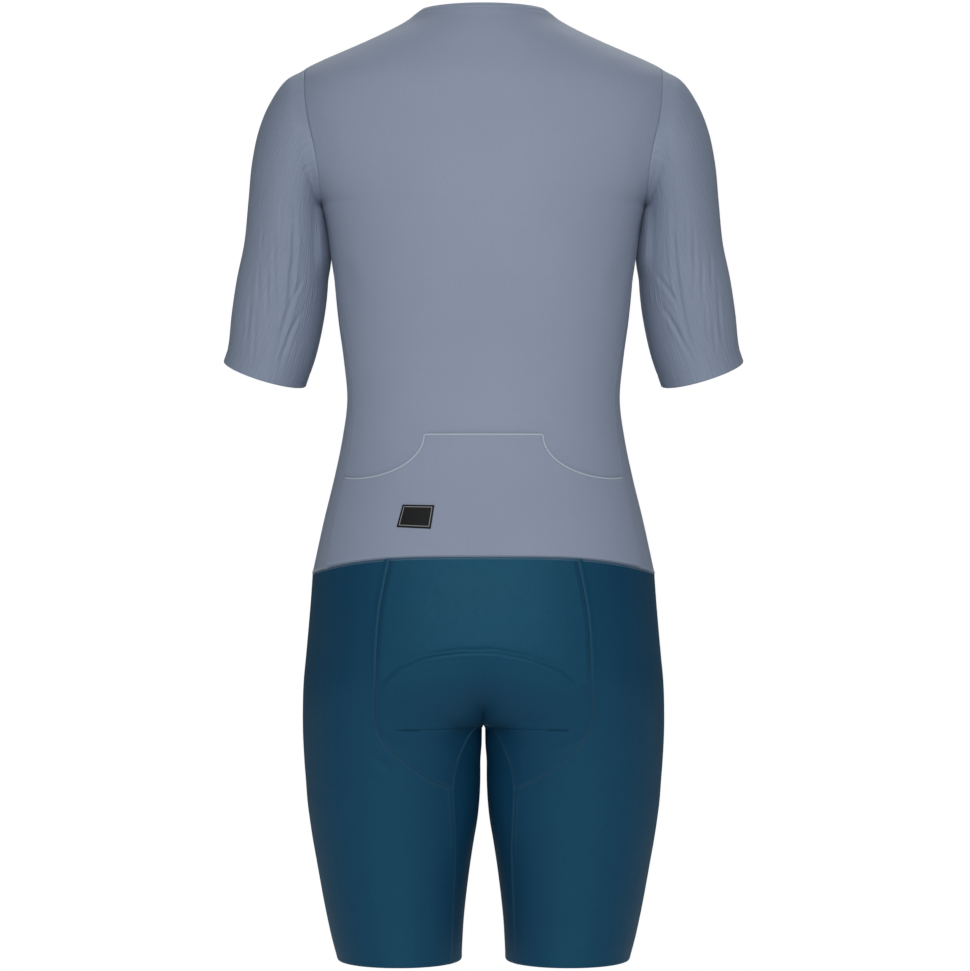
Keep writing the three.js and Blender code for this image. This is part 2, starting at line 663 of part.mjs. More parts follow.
// The sleeve: a curve for each point of the armhole, through that point and the same angle of each
// ring.
function sleevePanel() {
  const { points, angles } = armholeLoop();
  const curves = points.map((start, k) => {
    const onRings = SLEEVE.map((ring) => sleeveRingPoint(ring, angles[k]));
    return new THREE.CatmullRomCurve3([start, ...onRings]);
  });
  const last = SLEEVE.length;
  const ringNumbers = [...steps(SLEEVE_STEPS - 2, 0, last - 1), last - 0.45, last];
  const rows = ringNumbers.map((ring) => {
    const row = curves.map((curve) => curve.getPoint(ring / last));
    return [...row, row[0].clone()];
  });
  rows[0] = [...points, points[0].clone()];
  const degrees = [...angles, 2 * Math.PI].map((angle) => THREE.MathUtils.radToDeg(angle));
  const raise = (_, i, j) => -creaseDepth(ringNumbers[i], degrees[j]);
  const axis = (p) => {
    const drop = THREE.MathUtils.clamp(-p.z, 100, 360);
    return new THREE.Vector3(Math.sign(p.x) * (185 + 0.12 * (drop - 100)), -10, Math.min(p.z, -120));
  };
  return [
    new Panel("sleeve_left", [rows], axis, raise),
    new Panel("sleeve_right", [mirrored(rows)], axis, raise),
  ];
}

// The angles where the panels of the left half of the shorts begin and end on a row: the gusset at the
// back, the seat, the leg and the gusset at the front.
function shortsSeams(side) {
  const seatStart = side >= GUSSET_TIP ? BACK : innerAngleBack(side);
  const seatEnd = side > SEAT_TIP ? seatAngle(side) : seatStart;
  const legEnd = side >= GUSSET_TIP ? FRONT : innerAngleFront(side);
  return { seatStart, seatEnd, legEnd };
}
const seatShares = sharesOf(waistAngles.seat);
const legShares = sharesOf(seatAngle(WAIST), waistAngles.side, waistAngles.front, FRONT);
const gussetShares = steps(COLUMNS_INNER, 0, 1);

function shortsPanels() {
  const seatRows = shortsRows.filter((side) => side >= SEAT_TIP);
  const gussetRows = shortsRows.filter((side) => side <= GUSSET_TIP);
  const seatStart = (side) => shortsSeams(side).seatStart;
  const seatEnd = (side) => shortsSeams(side).seatEnd;
  const legEnd = (side) => shortsSeams(side).legEnd;
  const seat = grid(shortsPoint, seatRows, seatShares, seatStart, seatEnd);
  const leg = grid(shortsPoint, shortsRows, legShares, seatEnd, legEnd);
  const gussetBack = grid(shortsPoint, gussetRows, gussetShares, () => BACK, seatStart);
  const gussetFront = grid(shortsPoint, gussetRows, gussetShares, () => FRONT, legEnd);
  const gusset = [gussetBack, gussetFront, mirrored(gussetBack), mirrored(gussetFront)];
  return [
    new Panel("seat", [seat, mirrored(seat)], withinHips),
    new Panel("leg_left", [leg], withinHips),
    new Panel("leg_right", [mirrored(leg)], withinHips),
    new Panel("gusset", gusset, withinLeg),
  ];
}

// A row of the shorts as the panels divide it, from the middle of the back to the middle of the front.
function shortsRow(side) {
  const { seatStart, seatEnd, legEnd } = shortsSeams(side);
  const spread = (shares, from, to) =>
    shares.map((share) => shortsPoint(from + (to - from) * share, side));
  const below = side < GUSSET_TIP;
  return [
    ...(below ? spread(gussetShares, BACK, seatStart) : []),
    ...spread(seatShares, seatStart, seatEnd),
    ...spread(legShares, seatEnd, legEnd),
    ...(below ? spread(gussetShares, legEnd, FRONT) : []),
  ];
}

// The seat pad, inside the shorts. Its rows are the shorts' rows, and its points lie on their facets.
function padPanel() {
  const halfPad = (table, atBack) => {
    const sides = shortsRows.filter((side) => side <= table[0].side && side >= table.at(-1).side);
    return sides.map((side) => {
      const row = atBack ? shortsRow(side) : shortsRow(side).reverse();
      const start = row[0].x;
      const reach = smooth(table, "x", side) - start;
      return steps(COLUMNS_PAD, 0, 1).map((share) => {
        const x = start + reach * share ** PAD.crowding;
        const next = Math.max(row.findIndex((p) => p.x >= x && p.x > start), 1);
        const [before, after] = [row[next - 1], row[next]];
        return before.clone().lerp(after, (x - before.x) / (after.x - before.x));
      });
    });
  };
  const [back, front] = [halfPad(PAD_BACK, true), halfPad(PAD_FRONT, false)];
  return new Panel("seat_pad", [back, mirrored(back), front, mirrored(front)], withinHips);
}

// A point of the upper back at a distance from the middle and a height.
function backPoint(x, z) {
  let [high, low] = [-300, WAIST];
  const at = (side) => torsoPoint(angleAt(torsoPoint, side, Math.abs(x), BACK, SIDE), side);
  for (let step = 0; step < 36; step += 1) {
    const middle = (high + low) / 2;
    if (at(middle).z > z) high = middle;
    else low = middle;
  }
  const p = at((high + low) / 2);
  return x < 0 ? new THREE.Vector3(-p.x, p.y, p.z) : p;
}

// The pocket's mouth from the middle to the side seam, as [x, z] pairs.
function pocketMouth() {
  const { mouthZ, mouthHalf, scoopWidth, scoopDepth, levelColumns, scoopColumns } = POCKET;
  const level = steps(levelColumns, 0, mouthHalf).map((x) => [x, mouthZ]);
  const scoop = steps(scoopColumns, 0, SIDE).slice(1).map((angle) => [
    mouthHalf + scoopWidth * (1 - Math.cos(angle)),
    mouthZ - scoopDepth * Math.sin(angle),
  ]);
  const foot = mouthZ - scoopDepth;
  const seamX = smooth(SIDE_SEAM, "share", foot) * smooth(TORSO, "width", foot);
  return [...level, ...scoop, [seamX - 0.5, foot + 1]];
}

// The pocket panel, from just under its mouth down to the waist seam, and the tape round its mouth.
function pocketPanels() {
  const mouth = pocketMouth();
  const waistShare = smooth(SIDE_SEAM, "share", WAIST) * smooth(TORSO, "width", WAIST);
  const widest = mouth.at(-1)[0];
  const footX = (x) => (x / widest) * (waistShare - 1);
  const ends = mouth.map(([x]) => angleAt(torsoPoint, WAIST, footX(x), BACK, SIDE));
  const feet = ends.map((angle) => torsoPoint(angle, WAIST).add(new THREE.Vector3(0, 0, 0.6)));
  const shares = steps(POCKET.rows, 0, 1);
  const rows = shares.map((share) =>
    mouth.map(([x, z], k) => backPoint(x + (feet[k].x - x) * share, z + (feet[k].z - z) * share)),
  );
  const tape = [POCKET.tapeWidth, 0].map((up) =>
    mouth.map(([x, z], k) => {
      const [before, after] = [mouth[Math.max(k - 1, 0)], mouth[Math.min(k + 1, mouth.length - 1)]];
      const length = Math.hypot(after[0] - before[0], after[1] - before[1]);
      const [nx, nz] = [(before[1] - after[1]) / length, (after[0] - before[0]) / length];
      return backPoint(x + nx * up, z + nz * up);
    }),
  );
  return [
    new Panel("back_pocket", [rows, mirrored(rows)], withinTorso),
    new Panel("pocket_tape", [tape, mirrored(tape)], withinTorso),
  ];
}

function labelPanel() {
  const { topInner, topOuter, bottomInner, bottomOuter, cells } = LABEL;
  const between = (a, b, s) => [a[0] + (b[0] - a[0]) * s, a[1] + (b[1] - a[1]) * s];
  const rows = steps(cells, 0, 1).map((down) => {
    const [inner, outer] = [between(topInner, bottomInner, down), between(topOuter, bottomOuter, down)];
    return steps(cells, 0, 1).map((s) => backPoint(...between(inner, outer, s)));
  });
  return new Panel("pocket_label", [rows], withinTorso);
}

// The zip's tape behind the fronts, and its coil between them. Both follow the fronts' rows.
function zipPanels() {
  const strip = (xs) =>
    torsoRows.map((side) => xs.map((x) => {
      const p = torsoPoint(zipAngle(side, Math.abs(x)), side);
      return new THREE.Vector3(x, p.y, p.z);
    }));
  const { tapeHalf, openingHalf, coilHalf } = ZIP;
  return {
    tape: new Panel("zip_tape", [strip([-tapeHalf, -openingHalf, openingHalf, tapeHalf])], withinTorso),
    coil: new Panel("zip_coil", [strip([-coilHalf, coilHalf])], withinTorso),
  };
}

// A geometry as a solid that can be joined and cut, and a solid as a geometry again.
function solidOf(geometry) {
  const bare = geometry.clone();
  bare.deleteAttribute("normal");
  bare.deleteAttribute("uv");
  const merged = mergeVertices(bare, 1e-4);
  const vertProperties = merged.attributes.position.array;
  return new wasm.Manifold(
    new wasm.Mesh({ numProp: 3, vertProperties, triVerts: new Uint32Array(merged.index.array) }),
  );
}
function geometryOf(solid) {
  const mesh = solid.getMesh();
  const geometry = new THREE.BufferGeometry();
  geometry.setAttribute("position", new THREE.BufferAttribute(new Float32Array(mesh.vertProperties), 3));
  geometry.setIndex(new THREE.BufferAttribute(new Uint32Array(mesh.triVerts), 1));
  return geometry.toNonIndexed();
}

// An outline in the plane of X and Z, given depth along Y from one height above the cloth to another.
function plate(outline, fromY, toY) {
  const options = { depth: toY - fromY, bevelEnabled: false, curveSegments: 6 };
  const geometry = new THREE.ExtrudeGeometry(outline, options);
  return geometry.rotateX(Math.PI / 2).translate(0, toY, 0);
}

// The slider: a shield-shaped plate over the coil, with a bridge that the pull hangs from. X runs
// across, Y away from the cloth and Z up the zip.
function sliderGeometry() {
  const { width, tailWidth, length, plateBottom, plateTop } = SLIDER;
  const { bridgeWidth, bridgeOuter, bridgeInner, bridgeRoof, bridgeTop } = SLIDER;
  const shield = new THREE.Shape();
  shield.moveTo(-width / 2, length * 0.3);
  shield.quadraticCurveTo(-width / 2, length / 2, 0, length / 2);
  shield.quadraticCurveTo(width / 2, length / 2, width / 2, length * 0.3);
  shield.lineTo(tailWidth / 2, -length / 2);
  shield.lineTo(-tailWidth / 2, -length / 2);
  shield.closePath();
  const arch = new THREE.Shape();
  arch.moveTo(-bridgeOuter, plateTop - 0.4);
  arch.lineTo(-bridgeOuter, bridgeTop - 0.9);
  arch.quadraticCurveTo(-bridgeOuter, bridgeTop, -bridgeInner, bridgeTop);
  arch.lineTo(bridgeInner, bridgeTop);
  arch.quadraticCurveTo(bridgeOuter, bridgeTop, bridgeOuter, bridgeTop - 0.9);
  arch.lineTo(bridgeOuter, plateTop - 0.4);
  arch.lineTo(bridgeInner, plateTop - 0.4);
  arch.lineTo(bridgeInner, bridgeRoof);
  arch.lineTo(-bridgeInner, bridgeRoof);
  arch.lineTo(-bridgeInner, plateTop - 0.4);
  arch.closePath();
  const options = { depth: bridgeWidth, bevelEnabled: false, curveSegments: 4 };
  const bridge = new THREE.ExtrudeGeometry(arch, options);
  bridge.translate(0, 0, -bridgeWidth / 2).rotateY(-Math.PI / 2);
  return geometryOf(solidOf(plate(shield, plateBottom, plateTop)).add(solidOf(bridge)));
}

// The pull: its eye goes round the bridge, and its bar lies under it on the hinge's axis.
function pullGeometry() {
  const { barHalf, eyeHalfWidth, eyeEnd, halfWidth, length, tipHalfWidth, axisHeight } = PULL;
  const outline = new THREE.Shape();
  outline.moveTo(-halfWidth, barHalf);
  outline.lineTo(halfWidth, barHalf);
  outline.lineTo(halfWidth, -eyeEnd - 1);
  outline.lineTo(tipHalfWidth, -eyeEnd - 4);
  outline.lineTo(tipHalfWidth, -length + tipHalfWidth);
  outline.absarc(0, -length + tipHalfWidth, tipHalfWidth, 0, -Math.PI, true);
  outline.lineTo(-tipHalfWidth, -eyeEnd - 4);
  outline.lineTo(-halfWidth, -eyeEnd - 1);
  outline.closePath();
  const eye = new THREE.Path();
  eye.moveTo(-eyeHalfWidth, -barHalf);
  eye.lineTo(-eyeHalfWidth, -eyeEnd);
  eye.lineTo(eyeHalfWidth, -eyeEnd);
  eye.lineTo(eyeHalfWidth, -barHalf);
  eye.closePath();
  outline.holes.push(eye);
  return plate(outline, axisHeight - barHalf, axisHeight + barHalf);
}

// The place on the front where the slider sits, as a group whose Y points away from the cloth and
// whose Z runs up the zip.
function sliderSeat() {
  let [high, low] = [NECK_SEAM, -60];
  for (let step = 0; step < 36; step += 1) {
    const middle = (high + low) / 2;
    if (torsoPoint(FRONT, middle).z > ZIP.sliderZ) high = middle;
    else low = middle;
  }
  const here = torsoPoint(FRONT, high);
  const up = torsoPoint(FRONT, high + 1).sub(torsoPoint(FRONT, high - 3)).setX(0).normalize();
  const across = new THREE.Vector3(-1, 0, 0);
  const away = up.clone().cross(across);
  const seat = new THREE.Group();
  seat.position.set(0, here.y, here.z);
  seat.setRotationFromMatrix(new THREE.Matrix4().makeBasis(across, away, up));
  return seat;
}

const torso = torsoPanels();
const neck = neckPanel();
const sleeves = sleevePanel();
const shorts = shortsPanels();
const pad = padPanel();
const pocket = pocketPanels();
const label = labelPanel();
const zip = zipPanels();
shareNormals([...torso, neck, ...sleeves]);
shareNormals(shorts);
shareNormals(pocket);
for (const alone of [pad, label, zip.tape, zip.coil]) shareNormals([alone]);

// Adds a panel to the suit as a wall between two distances from its surface.
const addPanel = (panel, inner, outer, look) =>
  addMesh(suit, panel.name, panel.solid(inner, outer), look);

for (const panel of [...torso, neck]) addPanel(panel, -CLOTH, 0, material(COLOURS.upper));
for (const panel of sleeves) addPanel(panel, -CLOTH, 0, material(COLOURS.sleeve));
for (const panel of shorts) addPanel(panel, -CLOTH, 0, material(COLOURS.shorts, 0.6));

// The pad is sewn on along its thin edge and stands a little off the cloth within it.
function padInside(p) {
  const table = p.y > 0 ? PAD_BACK : PAD_FRONT;
  const edge = smooth(table, "x", THREE.MathUtils.clamp(p.z, table.at(-1).side, table[0].side));
  return THREE.MathUtils.smoothstep(edge - Math.abs(p.x), 0, PAD.softEdge);
}
const padTop = (p) => -CLOTH - THREE.MathUtils.lerp(PAD.edgeClearance, PAD.clearance, padInside(p));
const padBottom = (p) => padTop(p) - THREE.MathUtils.lerp(PAD.edge, PAD.thickness, padInside(p));
addPanel(pad, padBottom, padTop, material(COLOURS.pad));

const [pocketPanel, pocketTape] = pocket;
addPanel(pocketPanel, OVERLAY_GAP, OVERLAY_GAP + CLOTH, material(COLOURS.upper));
addPanel(pocketTape, OVERLAY_GAP, OVERLAY_GAP + POCKET.tapeThickness, material(COLOURS.tape));
const labelBottom = OVERLAY_GAP + CLOTH + LABEL.gap;
addPanel(label, labelBottom, labelBottom + LABEL.thickness, material(COLOURS.label, 0.5));

const tapeTop = -CLOTH - SEAM_GAP;
addPanel(zip.tape, tapeTop - ZIP.tapeThickness, tapeTop, material(COLOURS.zip));
addPanel(zip.coil, tapeTop + SEAM_GAP, ZIP.coilProud, material(COLOURS.chain, 0.4));

const seat = sliderSeat();
addMesh(seat, "zip_slider", sliderGeometry(), material(COLOURS.metal, 0.35, 0.9));
addMesh(seat, "zip_pull_tab", pullGeometry(), material(COLOURS.metal, 0.35, 0.9));
suit.add(seat);

export default suit;
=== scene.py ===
"""Looks of a short-sleeved one-piece triathlon suit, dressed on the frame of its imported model.

Shapes are worked out in millimetres and become metres when a mesh is made. +Z is up, the chest faces
-Y and the wearer's left is +X. A ring of the body is known by the height of its side, and angle 0 on
it is the middle of the back, a quarter turn the side and a half turn the middle of the front.
"""

import logging
import math
from collections.abc import Callable, Sequence
from dataclasses import dataclass, field, replace
from enum import Enum

import bpy
import numpy as np
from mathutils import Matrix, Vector
from mathutils.kdtree import KDTree


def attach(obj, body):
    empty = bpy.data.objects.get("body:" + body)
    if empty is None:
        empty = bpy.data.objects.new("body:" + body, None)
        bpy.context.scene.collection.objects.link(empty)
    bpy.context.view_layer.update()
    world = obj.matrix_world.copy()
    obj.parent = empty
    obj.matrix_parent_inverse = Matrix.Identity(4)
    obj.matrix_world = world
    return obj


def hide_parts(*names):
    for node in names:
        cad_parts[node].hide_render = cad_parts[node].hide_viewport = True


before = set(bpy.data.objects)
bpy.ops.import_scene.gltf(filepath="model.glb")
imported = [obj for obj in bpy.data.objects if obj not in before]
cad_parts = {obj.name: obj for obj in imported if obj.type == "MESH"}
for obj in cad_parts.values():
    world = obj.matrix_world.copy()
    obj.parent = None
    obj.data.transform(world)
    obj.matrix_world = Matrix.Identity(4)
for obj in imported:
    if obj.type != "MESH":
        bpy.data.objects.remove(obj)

Array = np.ndarray
Surface = Callable[[Array, Array], Array]
Colour = tuple[float, float, float]

log = logging.getLogger("suit")

MILLIMETRE = 0.001
SUIT_BODY = "suit"
IMAGE_SIDE = 971

# Heights that the seams hang from
NECK_EDGE = 12.0
NECK_SEAM = 7.5
SHOULDER_TIP = -50.0
ARMPIT = -191.0
WAIST = -563.0
SEAT_FULL = -632.0
SEAT_LEVEL = -645.0
GUSSET_TIP = -709.0
CROTCH = -716.0
SEAT_TIP = -779.0
HEM = -958.0

# Cloth
CLOTH = 0.9
SEAM_HALF_GAP = 0.04
SOLID_CLOTH = 1.2
OVERLAY = 0.8

BACK, SIDE, FRONT = 0.0, math.pi / 2, math.pi
OFF_SIDE = 1e-9

# Where a soft average is taken, and how much each place counts
SPREAD = (-1.0, -0.5, 0.0, 0.5, 1.0)
SHARES = (0.12, 0.24, 0.28, 0.24, 0.12)


class Table:
    """Rows of sizes by height, with a smooth value anywhere between two rows."""

    def __init__(self, columns: str, rows: Sequence[Sequence[float]]) -> None:
        """Keeps the rows in rising order of height.

        Args:
            columns: The columns' names, the height's first.
            rows: One row of numbers for each height.
        """
        data = np.array(sorted(rows), float)
        self.key = data[:, 0]
        self.column = {name: data[:, i] for i, name in enumerate(columns.split())}

    def __call__(self, column: str, key: Array | float) -> Array:
        """The column's value at a height, by a cubic through the neighbouring rows.

        Args:
            column: Which column.
            key: The heights asked for.

        Returns:
            One value for each height.
        """
        values, widths = self.column[column], np.diff(self.key)
        secants = np.diff(values) / widths
        inner = (secants[1:] + secants[:-1]) / 2
        slopes = np.concatenate([secants[:1], inner, secants[-1:]])
        i = np.clip(np.searchsorted(self.key, key) - 1, 0, len(widths) - 1)
        s = np.clip((key - self.key[i]) / widths[i], 0, 1)
        start = values[i] * (1 + 2 * s) + slopes[i] * widths[i] * s
        end = values[i + 1] * (3 - 2 * s) + slopes[i + 1] * widths[i] * (s - 1)
        return start * (1 - s) ** 2 + end * s * s


RING = "side back front width backY frontY power bend"
TORSO = Table(
    RING,
    [
        (12, 10.2, -50, 61, 56, -60, 2, 1),
        (7.5, 5, -56, 67.5, 60, -64, 2, 1),
        (0, -4, -66, 77, 65, -70, 2, 1),
        (-8, -12.8, -77, 91, 70, -77, 2.05, 1),
        (-20, -24.8, -89, 116, 76, -84, 2.1, 1),
        (-31, -37, -99, 141, 81.5, -90, 2.15, 1),
        (-41, -49, -109, 164, 87, -95, 2.2, 1),
        (-50, -61, -118, 181.5, 92, -99, 2.25, 1),
        (-62, -73, -127, 190, 96, -103, 2.3, 1.09),
        (-80, -90, -138, 195, 101, -107, 2.35, 1.21),
        (-104, -111, -151, 196, 107, -110, 2.35, 1.38),
        (-130, -134, -165, 191, 112, -113, 2.4, 1.57),
        (-156, -158, -178, 183, 115, -116, 2.4, 1.75),
        (-178, -179, -191, 172, 117, -117, 2.4, 1.91),
        (-191, -191, -200, 164, 118, -118, 2.4, 2),
        (-209, -209, -214, 158.5, 118, -119, 2.4, 2),
        (-235, -235, -238, 154.5, 117, -119, 2.4, 2),
        (-265, -265, -266, 152, 115, -118, 2.4, 2),
        (-306, -306, -306, 148, 110, -115, 2.4, 2),
        (-347, -347, -347, 142.5, 103, -111, 2.35, 2),
        (-388, -388, -388, 139, 98, -108, 2.35, 2),
        (-428, -427, -428, 144, 99, -108, 2.35, 2),
        (-469, -465, -467, 152.5, 105, -111, 2.35, 2),
        (-510, -501, -505, 162.5, 112, -113, 2.4, 2),
        (-563, -545, -552, 174, 119, -113, 2.4, 2),
    ],
)
HIPS = Table(
    RING,
    [
        (-563, -545, -552, 174, 119, -113, 2.4, 2),
        (-592, -580, -584, 176, 125, -111, 2.4, 2),
        (-622, -616, -618, 178.5, 129, -107, 2.4, 2),
        (-650, -648, -648, 181, 130, -103, 2.4, 2),
        (-672, -672, -672, 183, 127, -98, 2.5, 2),
        (-694, -694, -694, 184, 119, -94, 2.65, 2),
        (-716, -716, -716, 184, 109, -90, 2.8, 2),
    ],
)
LEG = Table(
    "side outer inner backY frontY power",
    [
        (-632, 179.5, 0, 113, -93, 2),
        (-672, 183, 0, 111, -89, 2),
        (-716, 184, 0, 103, -84, 2),
        (-720, 184, 2.7, 102, -84, 2),
        (-726, 184, 3.1, 101, -84, 2),
        (-735, 183.5, 3.2, 99, -84, 2.03),
        (-755, 182.5, 3.2, 95, -84, 2.06),
        (-775, 181, 3.2, 91.5, -84, 2.08),
        (-796, 179.5, 4.2, 88, -83, 2.1),
        (-816, 177, 6.3, 85, -82, 2.1),
        (-836, 174, 9.7, 82, -81, 2.1),
        (-857, 170.3, 13, 79, -80, 2.1),
        (-877, 166.8, 15.7, 76.5, -79, 2.1),
        (-898, 163, 18.2, 74, -78, 2.1),
        (-918, 159, 20.2, 71, -76, 2.1),
        (-938, 154.5, 21.4, 69, -75, 2.1),
        (-958, 149, 22.4, 67, -73, 2.1),
    ],
)
SLEEVE = np.array(
    [  # outer x, outer z, inner x, inner z, depth, middle, droop
        (200.5, -61, 165.2, -195.5, 63, -1, 0),
        (217.5, -84, 164.6, -200.5, 64, -2, 1),
        (229, -111, 163.2, -208, 63, -3, 2),
        (236.5, -145, 161.2, -220, 61, -5, 3),
        (240.5, -184, 159.4, -236, 59, -8, 4),
        (245, -226, 159, -256, 57, -12, 6),
        (253, -263, 160.6, -282, 55, -16, 7),
        (258.6, -298, 164.6, -309, 53, -20, 8),
        (262.5, -331, 172.2, -342, 51.5, -24, 9),
        (267.3, -347, 183, -373, 51, -26, 9),
    ],
    float,
)
ARMHOLE = Table(
    "side x",
    [
        (-41, 184),
        (-50, 181.5),
        (-62, 181),
        (-80, 179.5),
        (-104, 176),
        (-130, 170.5),
        (-156, 166.5),
        (-178, 165),
        (-191, 164),
        (-209, 164),
    ],
)
SIDE_SEAM = Table(
    "side share",
    [(-191, 1), (-235, 0.995), (-306, 0.975), (-388, 0.945), (-469, 0.918), (-563, 0.905)],
)
SEAT_SEAM = Table(
    "side x",
    [
        (-563, 92.5),
        (-585, 98),
        (-607, 102.5),
        (-640, 105.5),
        (-668, 106.5),
        (-700, 108),
        (-716, 105.5),
        (-731, 97.5),
        (-743, 85.5),
        (-756, 70),
        (-768, 54),
        (-779, 31.2),
    ],
)
INNER_SEAM = Table(
    "side x",
    [
        (-709, 0),
        (-716, 6),
        (-720, 11),
        (-726, 16),
        (-738, 22.5),
        (-756, 28),
        (-779, 31.2),
        (-800, 30.6),
        (-838, 29),
        (-888, 30.5),
        (-958, 33),
    ],
)
PAD_BACK = Table(
    "side x",
    [(-632, 24), (-645, 66), (-658, 88), (-674, 101), (-700, 106), (-716, 102), (-731, 80), (-744, 40)],
)
PAD_FRONT = Table(
    "side x",
    [(-658, 16), (-674, 30), (-700, 37), (-716, 35), (-731, 27), (-744, 15)],
)


def smoothstep(value: Array, low: float, high: float) -> Array:
    """0 below low, 1 above high and a smooth rise between them."""
    s = np.clip((value - low) / (high - low), 0, 1)
    return s * s * (3 - 2 * s)


def signed_power(value: Array, power: Array) -> Array:
    """The power of a value's size, with the value's own sign."""
    return np.sign(value) * np.abs(value) ** power


def mirrored(points: Array) -> Array:
    """The same points on the other side of the body."""
    return points * np.array([-1.0, 1.0, 1.0])


def ring_point(table: Table, angle: Array, side: Array) -> Array:
    """Points of the left half of a ring.

    Args:
        table: The rings.
        angle: From 0 at the back to pi at the front.
        side: The ring's height at its side.

    Returns:
        Points in millimetres.
    """
    angle, side = np.broadcast_arrays(np.asarray(angle, float), np.asarray(side, float))
    power, bend = 2 / table("power", side), table("bend", side)
    cosine = np.cos(angle)
    at_back, away = cosine >= 0, np.abs(cosine)
    rise = 1 - np.clip(1 - away**bend, 0, 1) ** (3 / bend)
    share = np.where(at_back, rise, away ** (0.6 + 0.7 * bend))
    end = np.where(at_back, table("back", side), table("front", side))
    depth = np.where(at_back, table("backY", side), table("frontY", side))
    x = table("width", side) * np.abs(np.sin(angle)) ** power
    return np.stack([x, depth * away**power, side + (end - side) * share], -1)


def torso_point(angle: Array, side: Array) -> Array:
    """Points of the left half of the torso, which stops at the armhole between shoulder and armpit."""
    angle, side = np.broadcast_arrays(np.asarray(angle, float), np.asarray(side, float))
    reach = np.minimum(ARMHOLE("x", side) / TORSO("width", side), 1)
    squeezed = np.arcsin(np.clip(reach ** (TORSO("power", side) / 2) * np.sin(angle), -1, 1))
    squeezed = np.where(angle > SIDE, FRONT - squeezed, squeezed)
    free = (side >= SHOULDER_TIP) | (side <= ARMPIT)
    return ring_point(TORSO, np.where(free, angle, squeezed), side)


def leg_point(angle: Array, side: Array) -> Array:
    """Points of the left leg's ring, once round while the angle runs from 0 to pi."""
    angle, side = np.broadcast_arrays(np.asarray(angle, float), np.asarray(side, float))
    power, turn = 2 / LEG("power", side), (2 * angle) % (2 * math.pi)
    outer = LEG("outer", side)
    inner = np.where(side > CROTCH, 0, LEG("inner", side))
    back, front = LEG("backY", side), LEG("frontY", side)
    x = (outer + inner) / 2 - (outer - inner) / 2 * signed_power(np.cos(turn), power)
    y = (back + front) / 2 + (back - front) / 2 * signed_power(np.sin(turn), power)
    return np.stack([x, y, side + 0 * x], -1)


def parted_point(angle: Array, side: Array) -> Array:
    """Points of the shorts, whose hips turn into two legs. Angles past either middle are mirrored."""
    over = (angle < BACK) | (angle > FRONT)
    angle = np.where(angle > FRONT, 2 * FRONT - angle, np.abs(angle))
    q = np.clip((SEAT_FULL - side) / (SEAT_FULL - CROTCH), 0, 1)
    leg = leg_point(angle, side)
    across = np.clip(leg[..., 0] / LEG("outer", side), 0, 1)
    level = np.arcsin(across ** (HIPS("power", side) / 2))
    level = np.where(angle > SIDE, FRONT - level, level)
    shift = smoothstep(-side, -WAIST, -SEAT_LEVEL)
    hips = ring_point(HIPS, angle + (level - angle) * shift, side)
    share = 1 - np.sqrt(1 - q * q)
    points = hips + (leg - hips) * share[..., None]
    points[..., 0] *= np.where(over, -1, 1)
    return points


def shorts_point(angle: Array, side: Array) -> Array:
    """Points of the left half of the shorts, with the fold below the seat and the middle made soft."""
    angle, side = np.broadcast_arrays(np.asarray(angle, float), np.asarray(side, float))
    points = parted_point(angle, side)
    band = smoothstep(side, -792, -728) * (1 - smoothstep(side, -706, -655))
    down = 16 * band * smoothstep(points[..., 0], 10, 46)
    above = smoothstep(side, CROTCH, CROTCH + 34) * (1 - smoothstep(side, -650, -634))
    around = 0.22 * above * (1 - smoothstep(np.minimum(angle, FRONT - angle), 0.1, 0.6))
    if not (down.any() or around.any()):
        return points
    soft = np.zeros(points.shape)
    for i, across in zip(SPREAD, SHARES):
        for k, along in zip(SPREAD, SHARES):
            soft += across * along * parted_point(angle + i * around, side + k * down)
    points[..., :2] = soft[..., :2]
    return points


def angle_at(surface: Surface, side: Array, x: Array, start: float, end: float) -> Array:
    """The angle at which a ring is x wide, by halving.

    Args:
        surface: Gives points for angles and heights.
        side: Heights of the rings.
        x: The width wanted on each ring.
        start: One end of the range of angles.
        end: The other end.

    Returns:
        One angle for each height.
    """
    side, x = np.broadcast_arrays(np.asarray(side, float), np.asarray(x, float))
    a, b = np.full(side.shape, start), np.full(side.shape, end)
    rising = surface(b, side)[..., 0] > surface(a, side)[..., 0]
    for _ in range(40):
        middle = (a + b) / 2
        low = (surface(middle, side)[..., 0] < x) == rising
        a, b = np.where(low, middle, a), np.where(low, b, middle)
    return (a + b) / 2


def torso_edge(side: Array, at_back: bool) -> Array:
    """The angle of the shoulder seam, armhole or side seam on each row of the torso."""
    side = np.asarray(side, float)
    off = -OFF_SIDE if at_back else OFF_SIDE
    below = angle_at(torso_point, side, SIDE_SEAM("share", side) * TORSO("width", side), BACK, SIDE)
    return np.where(side >= SHOULDER_TIP, SIDE, np.where(side >= ARMPIT, SIDE + off, below))


def zip_angle(side: Array, x: float) -> Array:
    """The angle on the front of the torso at a distance from its middle."""
    return angle_at(torso_point, side, x, FRONT, SIDE)


def back_point(x: Array, z: Array) -> Array:
    """Points of the back below the armpits, at distances from the middle and heights."""
    x, z = np.broadcast_arrays(np.asarray(x, float), np.asarray(z, float))
    side = z.copy()
    for _ in range(30):
        ratio = np.clip(np.abs(x) / TORSO("width", side), 0, 1)
        points = torso_point(np.arcsin(ratio ** (TORSO("power", side) / 2)), side)
        side = side + (z - points[..., 2])
    points[..., 0] = x
    return points


FINE = (0.0, 0.35, 0.8, 1.4, 2.2, 3.2, 4.6, 6.6)


def stations(length: float, cell: float, start: Sequence[float], end: Sequence[float]) -> int:
    """How many even cells lie between the fine ones at both ends of a line of this length."""
    free = length - max(start, default=0) - max(end, default=0)
    return max(int(round(free / cell)), 2)


